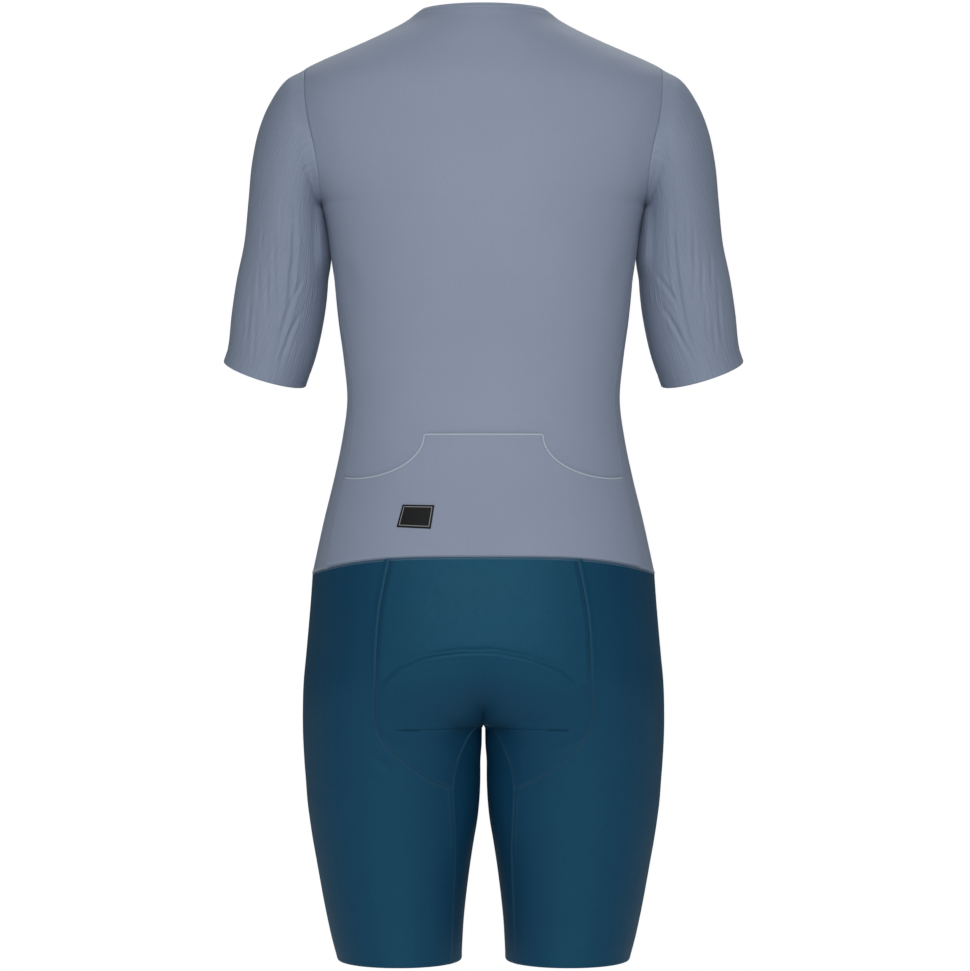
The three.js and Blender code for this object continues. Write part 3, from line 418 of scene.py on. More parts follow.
def resample(line: Array, middle: int, start: Sequence[float], end: Sequence[float]) -> Array:
    """A fine line of points as fewer, at set distances from its ends and evenly between them.

    Args:
        line: Points close together.
        middle: How many even cells lie between the set ones.
        start: Distances from the first point.
        end: Distances from the last point.

    Returns:
        The new points.
    """
    along = np.concatenate([[0], np.cumsum(np.linalg.norm(np.diff(line, axis=0), axis=1))])
    total = along[-1]
    squeeze = min(1.0, 0.7 * total / (max(start) + max(end) + 1e-9))
    first, last = np.array(start) * squeeze, np.array(end) * squeeze
    even = np.linspace(first[-1], total - last[-1], middle + 1)[1:-1]
    at = np.concatenate([first, even, (total - last)[::-1]])
    return np.stack([np.interp(at, along, line[:, k]) for k in range(3)], -1)


def heights(surface: Surface, angles: Sequence[Callable[[Array], Array]], top: float, bottom: float,
            cell: float, start: Sequence[float], end: Sequence[float]) -> Array:
    """Heights of rows that lie evenly along the surface.

    Args:
        surface: Gives points for angles and heights.
        angles: Lines down the surface on which the distances are measured. The longest step counts.
        top: Height of the first row.
        bottom: Height of the last row.
        cell: Distance between rows.
        start: Distances of the first rows from the top.
        end: Distances of the last rows from the bottom.

    Returns:
        The rows' heights from top to bottom.
    """
    side = np.linspace(top, bottom, 1200)
    lines = [surface(angle(side), side) for angle in angles]
    step = np.max([np.linalg.norm(np.diff(line, axis=0), axis=1) for line in lines], axis=0)
    along = np.concatenate([[0], np.cumsum(step)])
    count = stations(along[-1], cell, start, end)
    even = np.linspace(max(start), along[-1] - max(end), count + 1)[1:-1]
    at = np.concatenate([np.array(start), even, (along[-1] - np.array(end))[::-1]])
    return np.interp(at, along, side)


def patch(surface: Surface, sides: Array, start: Callable[[Array], Array], end: Callable[[Array], Array],
          cell: float, near: Sequence[float] = FINE, far: Sequence[float] = FINE) -> Array:
    """A grid of points on a surface, a row for each height, from one line down it to another.

    Args:
        surface: Gives points for angles and heights.
        sides: The rows' heights.
        start: The first angle of each row.
        end: The last angle of each row.
        cell: Distance between columns on the longest row.
        near: Distances of the first columns from the start.
        far: Distances of the last columns from the end.

    Returns:
        Rows of points.
    """
    share = np.linspace(0, 1, 500)[None, :]
    first, last = start(sides)[:, None], end(sides)[:, None]
    fine = surface(first + (last - first) * share, sides[:, None] + 0 * share)
    longest = np.linalg.norm(np.diff(fine, axis=1), axis=2).sum(1).max()
    count = stations(longest, cell, near, far)
    return np.stack([resample(row, count, near, far) for row in fine])


def constant(angle: float) -> Callable[[Array], Array]:
    """The same angle on every row."""
    return lambda side: np.full(np.shape(side), angle)


class Facing(Enum):
    """Which side of the suit a crease lies on."""

    REAR = 1.0
    CHEST = -1.0


@dataclass(frozen=True)
class Crease:
    """A soft trough with a faint ridge on each side, along a line seen from behind or in front."""

    line: tuple[tuple[float, float], ...]
    width: float
    depth: float
    facing: Facing = Facing.REAR
    ridge: float = 0.45

    def relief(self, points: Array, normals: Array) -> Array:
        """How far the crease raises the cloth at each point.

        Args:
            points: Points on the cloth.
            normals: Their outward directions.

        Returns:
            Distances in millimetres, below zero in the trough.
        """
        path = np.array(self.line, float)
        lengths = np.linalg.norm(np.diff(path, axis=0), axis=1)
        starts = np.concatenate([[0], np.cumsum(lengths)])
        total = starts[-1]
        seen = points[:, [0, 2]]
        best = np.full(len(points), 1e9)
        along = np.zeros(len(points))
        for k, length in enumerate(lengths):
            direction = (path[k + 1] - path[k]) / length
            s = np.clip((seen - path[k]) @ direction, 0, length)
            away = np.linalg.norm(seen - path[k] - s[:, None] * direction, axis=1)
            closer = away < best
            best = np.where(closer, away, best)
            along = np.where(closer, starts[k] + s, along)
        fade = smoothstep(along, -0.1 * total, 0.35 * total) * (1 - smoothstep(along, 0.6 * total, 1.05 * total))
        facing = smoothstep(normals[:, 1] * self.facing.value, 0.02, 0.3)
        trough = -np.exp(-((best / self.width) ** 2))
        ridge = self.ridge * np.exp(-(((best - 1.9 * self.width) / (0.9 * self.width)) ** 2))
        return self.depth * fade * facing * (trough + ridge)


@dataclass(frozen=True)
class Border:
    """What the cloth does towards one kind of edge."""

    drop: float
    drop_width: float
    ridge: float
    ridge_at: float
    ridge_width: float

    def relief(self, distance: Array) -> Array:
        """How far the cloth is raised at a distance from the edge."""
        dip = -self.drop * np.exp(-((distance / self.drop_width) ** 2))
        return dip + self.ridge * np.exp(-(((distance - self.ridge_at) / self.ridge_width) ** 2))


SEWN = Border(drop=0.22, drop_width=0.8, ridge=0.22, ridge_at=2.8, ridge_width=1.6)
RAISED = Border(drop=0.1, drop_width=0.6, ridge=0.6, ridge_at=2.6, ridge_width=2.0)
FLAT = Border(drop=0.08, drop_width=0.8, ridge=0.05, ridge_at=2.8, ridge_width=1.6)
SUNKEN = Border(drop=0.75, drop_width=2.2, ridge=0.15, ridge_at=5.5, ridge_width=2.0)
BONDED = Border(drop=0.35, drop_width=0.5, ridge=0.12, ridge_at=2.2, ridge_width=1.6)
FOLDED = Border(drop=0.4, drop_width=0.6, ridge=0.35, ridge_at=3.4, ridge_width=2.4)


@dataclass
class Line:
    """A line on the cloth with the outward direction at each of its points."""

    points: Array
    normals: Array


class Cloth:
    """A panel of knit as a thin wall on a smooth surface."""

    def __init__(self, name: str, patches: Sequence[Array], inside: Callable[[Array], Array]) -> None:
        """Joins the patches where they meet and turns every face outwards.

        Args:
            name: The panel's name.
            patches: Grids of points.
            inside: Gives a point within the body for each point on the cloth.
        """
        self.name = name
        flat = np.concatenate([p.reshape(-1, 3) for p in patches])
        keys = np.round(flat * 500).astype(np.int64)
        _, first, inverse = np.unique(keys, axis=0, return_index=True, return_inverse=True)
        self.points = flat[first]
        self.number: list[Array] = []
        self.quads = np.zeros((0, 4), np.int64)
        self.flat_uv = np.zeros((len(self.points), 2))
        at = 0
        for grid in patches:
            number = inverse.reshape(-1)[at : at + grid.shape[0] * grid.shape[1]].reshape(grid.shape[:2])
            at += number.size
            self.number.append(number)
            self._add(grid, number, inside)
        corners = self.points[self.quads]
        face = np.cross(corners[:, 2] - corners[:, 0], corners[:, 3] - corners[:, 1])
        self.face_normals = face
        normals = np.zeros_like(self.points)
        for k in range(4):
            np.add.at(normals, self.quads[:, k], face)
        self.normals = normals / np.maximum(np.linalg.norm(normals, axis=1, keepdims=True), 1e-12)
        self.area = np.linalg.norm(face, axis=1).sum() / 2
        self.raised = np.zeros(len(self.points))
        self.creased = np.zeros(len(self.points))
        self.seam = np.zeros(len(self.points))
        self._find_border()

    def _add(self, grid: Array, number: Array, inside: Callable[[Array], Array]) -> None:
        """Adds one grid's faces and its map of the flat cloth."""
        quads = np.stack(
            [number[:-1, :-1], number[:-1, 1:], number[1:, 1:], number[1:, :-1]], -1
        ).reshape(-1, 4)
        corners = self.points[quads]
        normal = np.cross(corners[:, 2] - corners[:, 0], corners[:, 3] - corners[:, 1])
        middle = corners.mean(1)
        if np.einsum("ij,ij->i", normal, middle - inside(middle)).sum() < 0:
            quads = quads[:, ::-1]
        self.quads = np.concatenate([self.quads, quads])
        across = np.linalg.norm(np.diff(grid, axis=1), axis=2)
        down = np.linalg.norm(np.diff(grid, axis=0), axis=2).mean(1)
        u = np.concatenate([np.zeros((len(grid), 1)), np.cumsum(across, axis=1)], 1)
        v = np.concatenate([[0], np.cumsum(down)])
        self.flat_uv[number, 0] = (u - u[:, -1:] / 2) * MILLIMETRE
        self.flat_uv[number, 1] = -v[:, None] * MILLIMETRE
        self.width, self.length = u[:, -1].max(), v[-1]

    def _find_border(self) -> None:
        """Finds the edges that only one face uses, and which way each leads into the cloth."""
        count = len(self.points)
        starts = self.quads.reshape(-1)
        ends = np.roll(self.quads, -1, axis=1).reshape(-1)
        faces = np.repeat(np.arange(len(self.quads)), 4)
        real = starts != ends
        starts, ends, faces = starts[real], ends[real], faces[real]
        lone = ~np.isin(starts * count + ends, ends * count + starts)
        self.border = np.stack([starts[lone], ends[lone]], -1)
        along = self.points[self.border[:, 1]] - self.points[self.border[:, 0]]
        inward = np.cross(self.face_normals[faces[lone]], along)
        inward /= np.maximum(np.linalg.norm(inward, axis=1, keepdims=True), 1e-12)
        total = np.zeros_like(self.points)
        np.add.at(total, self.border[:, 0], inward)
        np.add.at(total, self.border[:, 1], inward)
        size = np.linalg.norm(total, axis=1, keepdims=True)
        shift = 2 * SEAM_HALF_GAP * total / np.maximum(size, 0.3) ** 2
        long = np.linalg.norm(shift, axis=1, keepdims=True)
        self.set_back = shift * np.minimum(1, 4 * SEAM_HALF_GAP / np.maximum(long, 1e-12))

    def distance(self, edge: Array) -> Array:
        """How far each point lies from a line of points, such as a seam."""
        steps = np.linalg.norm(np.diff(edge, axis=0), axis=1)
        along = np.concatenate([[0], np.cumsum(steps)])
        at = np.linspace(0, along[-1], max(int(along[-1] / 0.5), 2))
        dense = np.stack([np.interp(at, along, edge[:, k]) for k in range(3)], -1)
        tree = KDTree(len(dense))
        for i, p in enumerate(dense):
            tree.insert(p, i)
        tree.balance()
        return np.array([tree.find(p)[2] for p in self.points])

    def edge(self, grid: int, row: int | None = None, column: int | None = None) -> Array:
        """The numbers of the points on one row or column of a grid."""
        number = self.number[grid]
        return number[row] if row is not None else number[:, column]

    def finish_edge(self, numbers: Array, border: Border, sewn: bool = True, fade: Sequence[float] = ()) -> None:
        """Shapes the cloth towards one of its edges.

        Args:
            numbers: The points on that edge.
            border: The shape.
            sewn: Whether the edge's threads tint the cloth.
            fade: The heights between which the shape weakens downwards, and what is left of it.
        """
        away = self.distance(self.points[numbers])
        left = 1.0
        if fade:
            left = fade[2] + (1 - fade[2]) * smoothstep(self.points[:, 2], fade[1], fade[0])
        self.raised = self.raised + border.relief(away) * left
        if sewn:
            self.seam = np.maximum(self.seam, np.exp(-((away / 1.6) ** 2)) * left)

    def crease(self, creases: Sequence[Crease], turn_over: bool = False) -> None:
        """Presses creases into the cloth.

        Args:
            creases: The creases.
            turn_over: Whether they are given for the other side of the body.
        """
        points = mirrored(self.points) if turn_over else self.points
        for fold in creases:
            self.creased = self.creased + fold.relief(points, self.normals)

    def line(self, numbers: Array, above: float = 0.0) -> Line:
        """The cloth along some of its points, with its creases and without its seam's groove."""
        lift = (self.creased[numbers] + above)[:, None]
        return Line(self.points[numbers] + self.normals[numbers] * lift, self.normals[numbers])

    def wall(self, thickness: float = CLOTH, offset: Array | float = 0.0) -> bpy.types.Object:
        """The panel as a closed mesh.

        Args:
            thickness: The wall's thickness.
            offset: How far the outer face lies from the surface.

        Returns:
            The new object.
        """
        base = self.points + self.set_back
        outer = base + self.normals * (self.creased + self.raised + offset)[:, None]
        inner = base + self.normals * (self.creased + offset - thickness)[:, None]
        count = len(base)
        faces = [tuple(dict.fromkeys(q)) for q in self.quads.tolist()]
        faces = [f for f in faces if len(f) > 2]
        under = [tuple(i + count for i in reversed(f)) for f in faces]
        rims = [(b, a, a + count, b + count) for a, b in self.border.tolist()]
        mesh = bpy.data.meshes.new(self.name + "_cloth")
        vertices = np.concatenate([outer, inner]) * MILLIMETRE
        mesh.from_pydata(vertices.tolist(), [], faces + under + rims)
        mesh.polygons.foreach_set("use_smooth", [True] * len(mesh.polygons))
        corner = np.empty(len(mesh.loops), np.int64)
        mesh.loops.foreach_get("vertex_index", corner)
        uv = mesh.uv_layers.new(name="flat")
        uv.data.foreach_set("uv", np.concatenate([self.flat_uv] * 2)[corner].ravel())
        seam = mesh.attributes.new("seam", "FLOAT", "POINT")
        seam.data.foreach_set("value", np.concatenate([self.seam, 0 * self.seam]))
        sharp = np.zeros(len(mesh.edges), bool)
        ends = np.empty(2 * len(mesh.edges), np.int64)
        mesh.edges.foreach_get("vertices", ends)
        ends = ends.reshape(-1, 2)
        rim = set(map(tuple, np.sort(self.border, axis=1).tolist()))
        for i, (a, b) in enumerate(np.sort(ends % count, axis=1).tolist()):
            sharp[i] = (a, b) in rim and (ends[i] < count).all() == (ends[i] < count).any()
        mesh.attributes.new("sharp_edge", "BOOLEAN", "EDGE").data.foreach_set("value", sharp)
        mesh.update()
        made = bpy.data.objects.new(self.name + "_cloth", mesh)
        bpy.context.scene.collection.objects.link(made)
        return made


class Shade:
    """Builds one material's nodes."""

    def __init__(self, name: str) -> None:
        """Starts a material with its surface shader."""
        self.material = bpy.data.materials.new(name)
        self.material.use_nodes = True
        self.nodes = self.material.node_tree.nodes
        self.links = self.material.node_tree.links
        self.shader = self.nodes["Principled BSDF"]

    def put(self, socket: bpy.types.NodeSocket, value: object) -> None:
        """Links a socket to another, or sets its own value."""
        if isinstance(value, bpy.types.NodeSocket):
            self.links.new(value, socket)
        elif isinstance(value, tuple) and socket.type == "RGBA":
            socket.default_value = (*value, 1.0)
        else:
            socket.default_value = value

    def math(self, operation: str, a: object, b: object = 0.0) -> bpy.types.NodeSocket:
        """The result of a sum on two values."""
        node = self.nodes.new("ShaderNodeMath")
        node.operation = operation
        self.put(node.inputs[0], a)
        self.put(node.inputs[1], b)
        return node.outputs[0]

    def flat(self) -> tuple[bpy.types.NodeSocket, bpy.types.NodeSocket]:
        """Distances across and along the flat cloth, in metres."""
        node = self.nodes.new("ShaderNodeUVMap")
        node.uv_map = "flat"
        split = self.nodes.new("ShaderNodeSeparateXYZ")
        self.put(split.inputs[0], node.outputs["UV"])
        return split.outputs[0], split.outputs[1]

    def place(self) -> bpy.types.NodeSocket:
        """The place on the object, in metres."""
        return self.nodes.new("ShaderNodeTexCoord").outputs["Object"]

    def join(self, x: object, y: object, z: object = 0.0) -> bpy.types.NodeSocket:
        """Three values as one vector."""
        node = self.nodes.new("ShaderNodeCombineXYZ")
        for socket, value in zip(node.inputs, (x, y, z)):
            self.put(socket, value)
        return node.outputs[0]

    def noise(self, vector: object, scale: float, detail: float = 3.0, rough: float = 0.5) -> bpy.types.NodeSocket:
        """A smooth random value from 0 to 1."""
        node = self.nodes.new("ShaderNodeTexNoise")
        self.put(node.inputs["Vector"], vector)
        for name, value in (("Scale", scale), ("Detail", detail), ("Roughness", rough)):
            node.inputs[name].default_value = value
        return node.outputs["Fac"]

    def spread(self, value: object, low: float, high: float, to_low: float, to_high: float) -> bpy.types.NodeSocket:
        """A value's range moved to another range."""
        node = self.nodes.new("ShaderNodeMapRange")
        for socket, item in zip(node.inputs, (value, low, high, to_low, to_high)):
            self.put(socket, item)
        return node.outputs[0]

    def blend(self, share: object, a: object, b: object, mode: str = "MIX") -> bpy.types.NodeSocket:
        """Two colours blended by a share."""
        node = self.nodes.new("ShaderNodeMix")
        node.data_type = "RGBA"
        node.blend_type = mode
        self.put(node.inputs["Factor"], share)
        colours = [s for s in node.inputs if s.type == "RGBA"]
        self.put(colours[0], a)
        self.put(colours[1], b)
        return next(s for s in node.outputs if s.type == "RGBA")

    def attribute(self, name: str) -> bpy.types.NodeSocket:
        """A number kept on the mesh's points."""
        node = self.nodes.new("ShaderNodeAttribute")
        node.attribute_name = name
        return node.outputs["Fac"]

    def bump(self, height: object, distance: float, strength: float, under: object = None) -> bpy.types.NodeSocket:
        """A surface direction bent by a height.

        Args:
            height: From 0 to 1.
            distance: What a height of 1 is, in metres.
            strength: How much of it counts.
            under: The direction before it, if any.

        Returns:
            The new direction.
        """
        node = self.nodes.new("ShaderNodeBump")
        node.inputs["Distance"].default_value = distance
        node.inputs["Strength"].default_value = strength
        self.put(node.inputs["Height"], height)
        if under is not None:
            self.put(node.inputs["Normal"], under)
        return node.outputs["Normal"]

    def finish(self, colour: object, rough: object, normal: object, **fixed: object) -> bpy.types.Material:
        """Sets the shader's sockets and gives the material."""
        self.put(self.shader.inputs["Base Color"], colour)
        self.put(self.shader.inputs["Roughness"], rough)
        if normal is not None:
            self.put(self.shader.inputs["Normal"], normal)
        for name, value in fixed.items():
            self.put(self.shader.inputs[name.replace("_", " ")], value)
        return self.material


@dataclass(frozen=True)
class Knit:
    """A stretch knit: fine columns of loops with painted shade in their hollows, a slight unevenness and threads at
    its seams.
    """

    name: str
    colour: Colour
    deep: Colour
    thread: Colour
    wale: float = 0.00085
    course: float = 0.0007
    loops: float = 0.35
    streak: float = 0.0
    rough: float = 0.7
    gloss: float = 0.8
    tint: Colour = (1.0, 1.0, 1.0)

    def build(self) -> bpy.types.Material:
        """The finish as a material."""
        shade = Shade(self.name)
        u, v = shade.flat()
        wale = shade.math("SINE", shade.math("MULTIPLY", u, 2 * math.pi / self.wale))
        lean = shade.math("MULTIPLY", wale, 0.9)
        course = shade.math("MULTIPLY", v, 2 * math.pi / self.course)
        loop = shade.math("SINE", shade.math("ADD", course, lean))
        loops = shade.math("MULTIPLY", loop, 0.25)
        weave_and_hollow_shade = shade.spread(shade.math("ADD", loops, shade.math("MULTIPLY", wale, 0.3)), -0.6, 0.6, 0, 1)
        place = shade.place()
        broad = shade.noise(place, 9.0, 2.0)
        fine = shade.noise(place, 420.0, 2.0, 0.6)
        drawn = shade.noise(shade.join(shade.math("MULTIPLY", u, 620.0), shade.math("MULTIPLY", v, 26.0)), 1.0, 3.0)
        pucker = shade.noise(place, 260.0, 2.0)
        seam = shade.attribute("seam")
        share = shade.spread(broad, 0.3, 0.7, 0.0, 0.55)
        colour = shade.blend(share, self.colour, self.deep)
        colour = shade.blend(shade.spread(fine, 0.3, 0.7, 0.0, 0.35), colour, self.deep)
        # The knit's lower places, where the loop bump sinks, are painted darker towards the deep colour: painted
        # shade in the loops' hollows.
        colour = shade.blend(shade.spread(weave_and_hollow_shade, 0, 1, 0.25, 0.0), colour, self.deep)
        if self.streak:
            colour = shade.blend(shade.spread(drawn, 0.35, 0.65, 0.0, 0.6 * self.streak), colour, self.deep)
        colour = shade.blend(shade.math("MULTIPLY", seam, 0.2), colour, self.thread)
        normal = shade.bump(weave_and_hollow_shade, 0.00012, self.loops)
        if self.streak:
            normal = shade.bump(drawn, 0.0011, self.streak, normal)
        normal = shade.bump(shade.math("MULTIPLY", pucker, seam), 0.0004, 0.5, normal)
        rough = shade.spread(fine, 0.2, 0.8, self.rough - 0.05, self.rough + 0.08)
        return shade.finish(
            colour,
            rough,
            normal,
            Specular_IOR_Level=self.gloss,
            Specular_Tint=self.tint,
        )


@dataclass(frozen=True)
class Woven:
    """A firm woven tape, binding or thread."""

    name: str
    colour: Colour
    deep: Colour
    pitch: float = 0.0009
    rough: float = 0.6
    relief: float = 0.5

    def build(self) -> bpy.types.Material:
        """The finish as a material."""
        shade = Shade(self.name)
        place = shade.place()
        split = shade.nodes.new("ShaderNodeSeparateXYZ")
        shade.put(split.inputs[0], place)
        x, y, z = split.outputs
        slant = shade.math("ADD", shade.math("ABSOLUTE", x), shade.math("MULTIPLY", y, 0.4))
        one = shade.math("SINE", shade.math("MULTIPLY", shade.math("ADD", z, slant), 2 * math.pi / self.pitch))
        other = shade.math("SUBTRACT", z, slant)
        two = shade.math("SINE", shade.math("MULTIPLY", other, 2 * math.pi / self.pitch))
        weave_and_hollow_shade = shade.spread(shade.math("MULTIPLY", one, two), -1, 1, 0, 1)
        fleck = shade.noise(place, 600.0, 2.0)
        # The weave's lower places, where its bump sinks, are painted darker towards the deep colour: painted shade
        # in the weave's hollows.
        colour = shade.blend(shade.spread(weave_and_hollow_shade, 0, 1, 0.5, 0), self.colour, self.deep)
        colour = shade.blend(shade.spread(fleck, 0.35, 0.7, 0, 0.3), colour, self.deep)
        return shade.finish(colour, self.rough, shade.bump(weave_and_hollow_shade, 0.00015, self.relief), Sheen_Weight=0.05)


@dataclass(frozen=True)
class Cast:
    """A small moulded or cast piece with worn edges and fine scratches."""

    name: str
    colour: Colour
    worn: Colour
    metallic: float = 0.0
    rough: float = 0.4

    def build(self) -> bpy.types.Material:
        """The finish as a material."""
        shade = Shade(self.name)
        place = shade.place()
        scratch = shade.noise(place, 1500.0, 4.0, 0.7)
        patchy = shade.noise(place, 300.0, 2.0)
        geometry = shade.nodes.new("ShaderNodeNewGeometry")
        edge = shade.spread(geometry.outputs["Pointiness"], 0.52, 0.6, 0, 0.8)
        colour = shade.blend(shade.spread(patchy, 0.4, 0.8, 0, 0.3), self.colour, self.worn)
        colour = shade.blend(edge, colour, self.worn)
        rough = shade.spread(scratch, 0.3, 0.7, self.rough - 0.08, self.rough + 0.15)
        return shade.finish(colour, rough, shade.bump(scratch, 0.00003, 0.4), Metallic=self.metallic)


@dataclass(frozen=True)
class Badge:
    """A plain dark woven badge with a thin pale frame near its edge."""

    name: str
    ground: Colour
    line: Colour

    def build(self) -> bpy.types.Material:
        """The finish as a material."""
        shade = Shade(self.name)
        node = shade.nodes.new("ShaderNodeUVMap")
        node.uv_map = "face"
        split = shade.nodes.new("ShaderNodeSeparateXYZ")
        shade.put(split.inputs[0], node.outputs["UV"])
        across = shade.math("ABSOLUTE", split.outputs[0])
        down = shade.math("ABSOLUTE", split.outputs[1])
        reach = shade.math("MAXIMUM", across, shade.math("ADD", down, 0.0045))
        off = shade.math("ABSOLUTE", shade.math("SUBTRACT", reach, 0.0138))
        frame_line = shade.spread(off, 0.00018, 0.0004, 1, 0)
        thread = shade.math("MULTIPLY", shade.math("ADD", split.outputs[0], split.outputs[1]), 9000.0)
        twill = shade.spread(shade.math("SINE", thread), -1, 1, 0, 1)
        fleck = shade.noise(shade.place(), 900.0, 2.0)
        ground = shade.blend(shade.spread(fleck, 0.4, 0.7, 0, 0.4), self.ground, (0.009, 0.0095, 0.011))
        colour = shade.blend(frame_line, ground, self.line)
        height = shade.math("ADD", shade.math("MULTIPLY", frame_line, 0.8), shade.math("MULTIPLY", twill, 0.4))
        return shade.finish(colour, 0.6, shade.bump(height, 0.00012, 0.6), Specular_IOR_Level=0.2)


class Finish(Enum):
    """Every finish of the suit, under the record's name for its slot."""

    UPPER = Knit("upper_knit", (0.248, 0.294, 0.392), (0.222, 0.266, 0.360), (0.30, 0.35, 0.45), gloss=0.62)
    SLEEVE = Knit(
        "sleeve_knit", (0.240, 0.288, 0.386), (0.200, 0.246, 0.338), (0.30, 0.35, 0.45), streak=0.9, gloss=0.62
    )
    SHORTS = Knit(
        "shorts_knit",
        (0.0012, 0.033, 0.084),
        (0.001, 0.027, 0.070),
        (0.004, 0.042, 0.098),
        rough=0.62,
        loops=0.3,
        gloss=0.9,
        tint=(0.2, 0.66, 0.84),
    )
    PAD = Knit("pad", (0.030, 0.040, 0.050), (0.018, 0.025, 0.032), (0.05, 0.06, 0.07), wale=0.0022, course=0.0022, loops=0.8)
    TAPE = Woven("tape", (0.42, 0.49, 0.56), (0.33, 0.39, 0.46), pitch=0.0012)
    THREAD_UPPER = Woven("thread_upper", (0.31, 0.37, 0.45), (0.24, 0.30, 0.38), pitch=0.0005)
    THREAD_SHORTS = Woven("thread_shorts", (0.020, 0.095, 0.165), (0.012, 0.07, 0.13), pitch=0.0005)
    ZIP_TAPE = Woven("zip_tape", (0.12, 0.15, 0.20), (0.08, 0.10, 0.14), pitch=0.0011)
    ZIP_COIL = Cast("zip_coil", (0.045, 0.06, 0.085), (0.12, 0.14, 0.17), rough=0.35)
    METAL = Cast("zip_metal", (0.10, 0.11, 0.125), (0.45, 0.46, 0.48), metallic=0.9, rough=0.34)
    LABEL = Badge("label", (0.0035, 0.0038, 0.0045), (0.30, 0.31, 0.32))


class Wardrobe:
    """Makes each finish once and puts it on pieces."""

    def __init__(self) -> None:
        """Starts with no finish made."""
        self.made: dict[Finish, bpy.types.Material] = {}

    def get(self, finish: Finish) -> bpy.types.Material:
        """The finish as a material."""
        if finish not in self.made:
            self.made[finish] = finish.value.build()
        return self.made[finish]

    def dress(self, piece: bpy.types.Object, finish: Finish) -> None:
        """Gives a piece its finish."""
        piece.data.materials.clear()
        piece.data.materials.append(self.get(finish))


class Tree:
    """Builds one Geometry Nodes tree with named inputs."""

    def __init__(self, name: str, inputs: dict[str, tuple[str, object]]) -> None:
        """Starts a tree.

        Args:
            name: The tree's name.
            inputs: Each input's name with its socket type and first value.
        """
        self.group = bpy.data.node_groups.new(name, "GeometryNodeTree")
        self.group.interface.new_socket("Geometry", in_out="INPUT", socket_type="NodeSocketGeometry")
        self.group.interface.new_socket("Geometry", in_out="OUTPUT", socket_type="NodeSocketGeometry")
        for label, (kind, value) in inputs.items():
            socket = self.group.interface.new_socket(label, in_out="INPUT", socket_type=kind)
            if value is not None:
                socket.default_value = value
        self.start = self.group.nodes.new("NodeGroupInput").outputs
        self.end = self.group.nodes.new("NodeGroupOutput").inputs

    def node(self, kind: str, settings: dict[str, object] | None = None, **inputs: object) -> bpy.types.Node:
        """Adds a node, sets what it is told and links or sets its inputs by name."""
        node = self.group.nodes.new(kind)
        for name, value in (settings or {}).items():
            setattr(node, name, value)
        for name, value in inputs.items():
            self.put(node.inputs[name.replace("_", " ")], value)
        return node

    def put(self, socket: bpy.types.NodeSocket, value: object) -> None:
        """Links a socket to another, or sets its own value."""
        if isinstance(value, bpy.types.NodeSocket):
            self.group.links.new(value, socket)
        else:
            socket.default_value = value

    def math(self, operation: str, a: object, b: object = 0.0) -> bpy.types.NodeSocket:
        """The result of a sum on two values."""
        node = self.group.nodes.new("ShaderNodeMath")
        node.operation = operation
        self.put(node.inputs[0], a)
        self.put(node.inputs[1], b)
        return node.outputs[0]

    def vector(self, x: object = 0.0, y: object = 0.0, z: object = 0.0) -> bpy.types.NodeSocket:
        """Three values as one vector."""
        node = self.group.nodes.new("ShaderNodeCombineXYZ")
        for socket, value in zip(node.inputs, (x, y, z)):
            self.put(socket, value)
        return node.outputs[0]


@dataclass
class Repeats:
    """Small shapes repeated along lines on the cloth, by a Geometry Nodes tree."""

    name: str
    lines: list[Line] = field(default_factory=list)

    def path(self) -> bpy.types.Object:
        """The lines as one mesh of edges, with the outward direction at each point."""
        points = np.concatenate([line.points for line in self.lines]) * MILLIMETRE
        normals = np.concatenate([line.normals for line in self.lines])
        edges: list[tuple[int, int]] = []
        at = 0
        for line in self.lines:
            edges += [(at + i, at + i + 1) for i in range(len(line.points) - 1)]
            at += len(line.points)
        mesh = bpy.data.meshes.new(self.name)
        mesh.from_pydata(points.tolist(), edges, [])
        outward = mesh.attributes.new("outward", "FLOAT_VECTOR", "POINT")
        outward.data.foreach_set("vector", normals.ravel())
        made = bpy.data.objects.new(self.name, mesh)
        bpy.context.scene.collection.objects.link(made)
        return made

    def grow(self, group: bpy.types.NodeTree, values: dict[str, object]) -> bpy.types.Object:
        """Runs a tree on the lines and keeps its result as a plain mesh.

        Args:
            group: The tree.
            values: The inputs' values by name.

        Returns:
            The finished piece.
        """
        made = self.path()
        modifier = made.modifiers.new("repeats", "NODES")
        modifier.node_group = group
        names = {s.name: s.identifier for s in group.interface.items_tree if s.in_out == "INPUT"}
        for label, value in values.items():
            modifier[names[label]] = value
        graph = bpy.context.evaluated_depsgraph_get()
        mesh = bpy.data.meshes.new_from_object(made.evaluated_get(graph))
        made.modifiers.remove(modifier)
        old = made.data
        made.data = mesh
        bpy.data.meshes.remove(old)
        mesh.name = self.name
        mesh.polygons.foreach_set("use_smooth", [True] * len(mesh.polygons))
        return made


def placed_along(tree: Tree, pitch: object) -> tuple[bpy.types.NodeSocket, bpy.types.NodeSocket]:
    """Even points along the tree's lines, and the turn that lies along the line and faces out."""
    curve = tree.node("GeometryNodeMeshToCurve", Mesh=tree.start["Geometry"]).outputs[0]
    even = tree.node("GeometryNodeResampleCurve", {"mode": "LENGTH"}, Curve=curve, Length=pitch).outputs[0]
    tangent = tree.node("GeometryNodeInputTangent").outputs[0]
    outward = tree.node("GeometryNodeInputNamedAttribute", {"data_type": "FLOAT_VECTOR"}, Name="outward").outputs[0]
    up = tree.node("FunctionNodeAlignRotationToVector", {"axis": "Z"}, Vector=outward).outputs[0]
    along = tree.node(
        "FunctionNodeAlignRotationToVector", {"axis": "X", "pivot_axis": "Z"}, Rotation=up, Vector=tangent
    ).outputs[0]
    return even, along


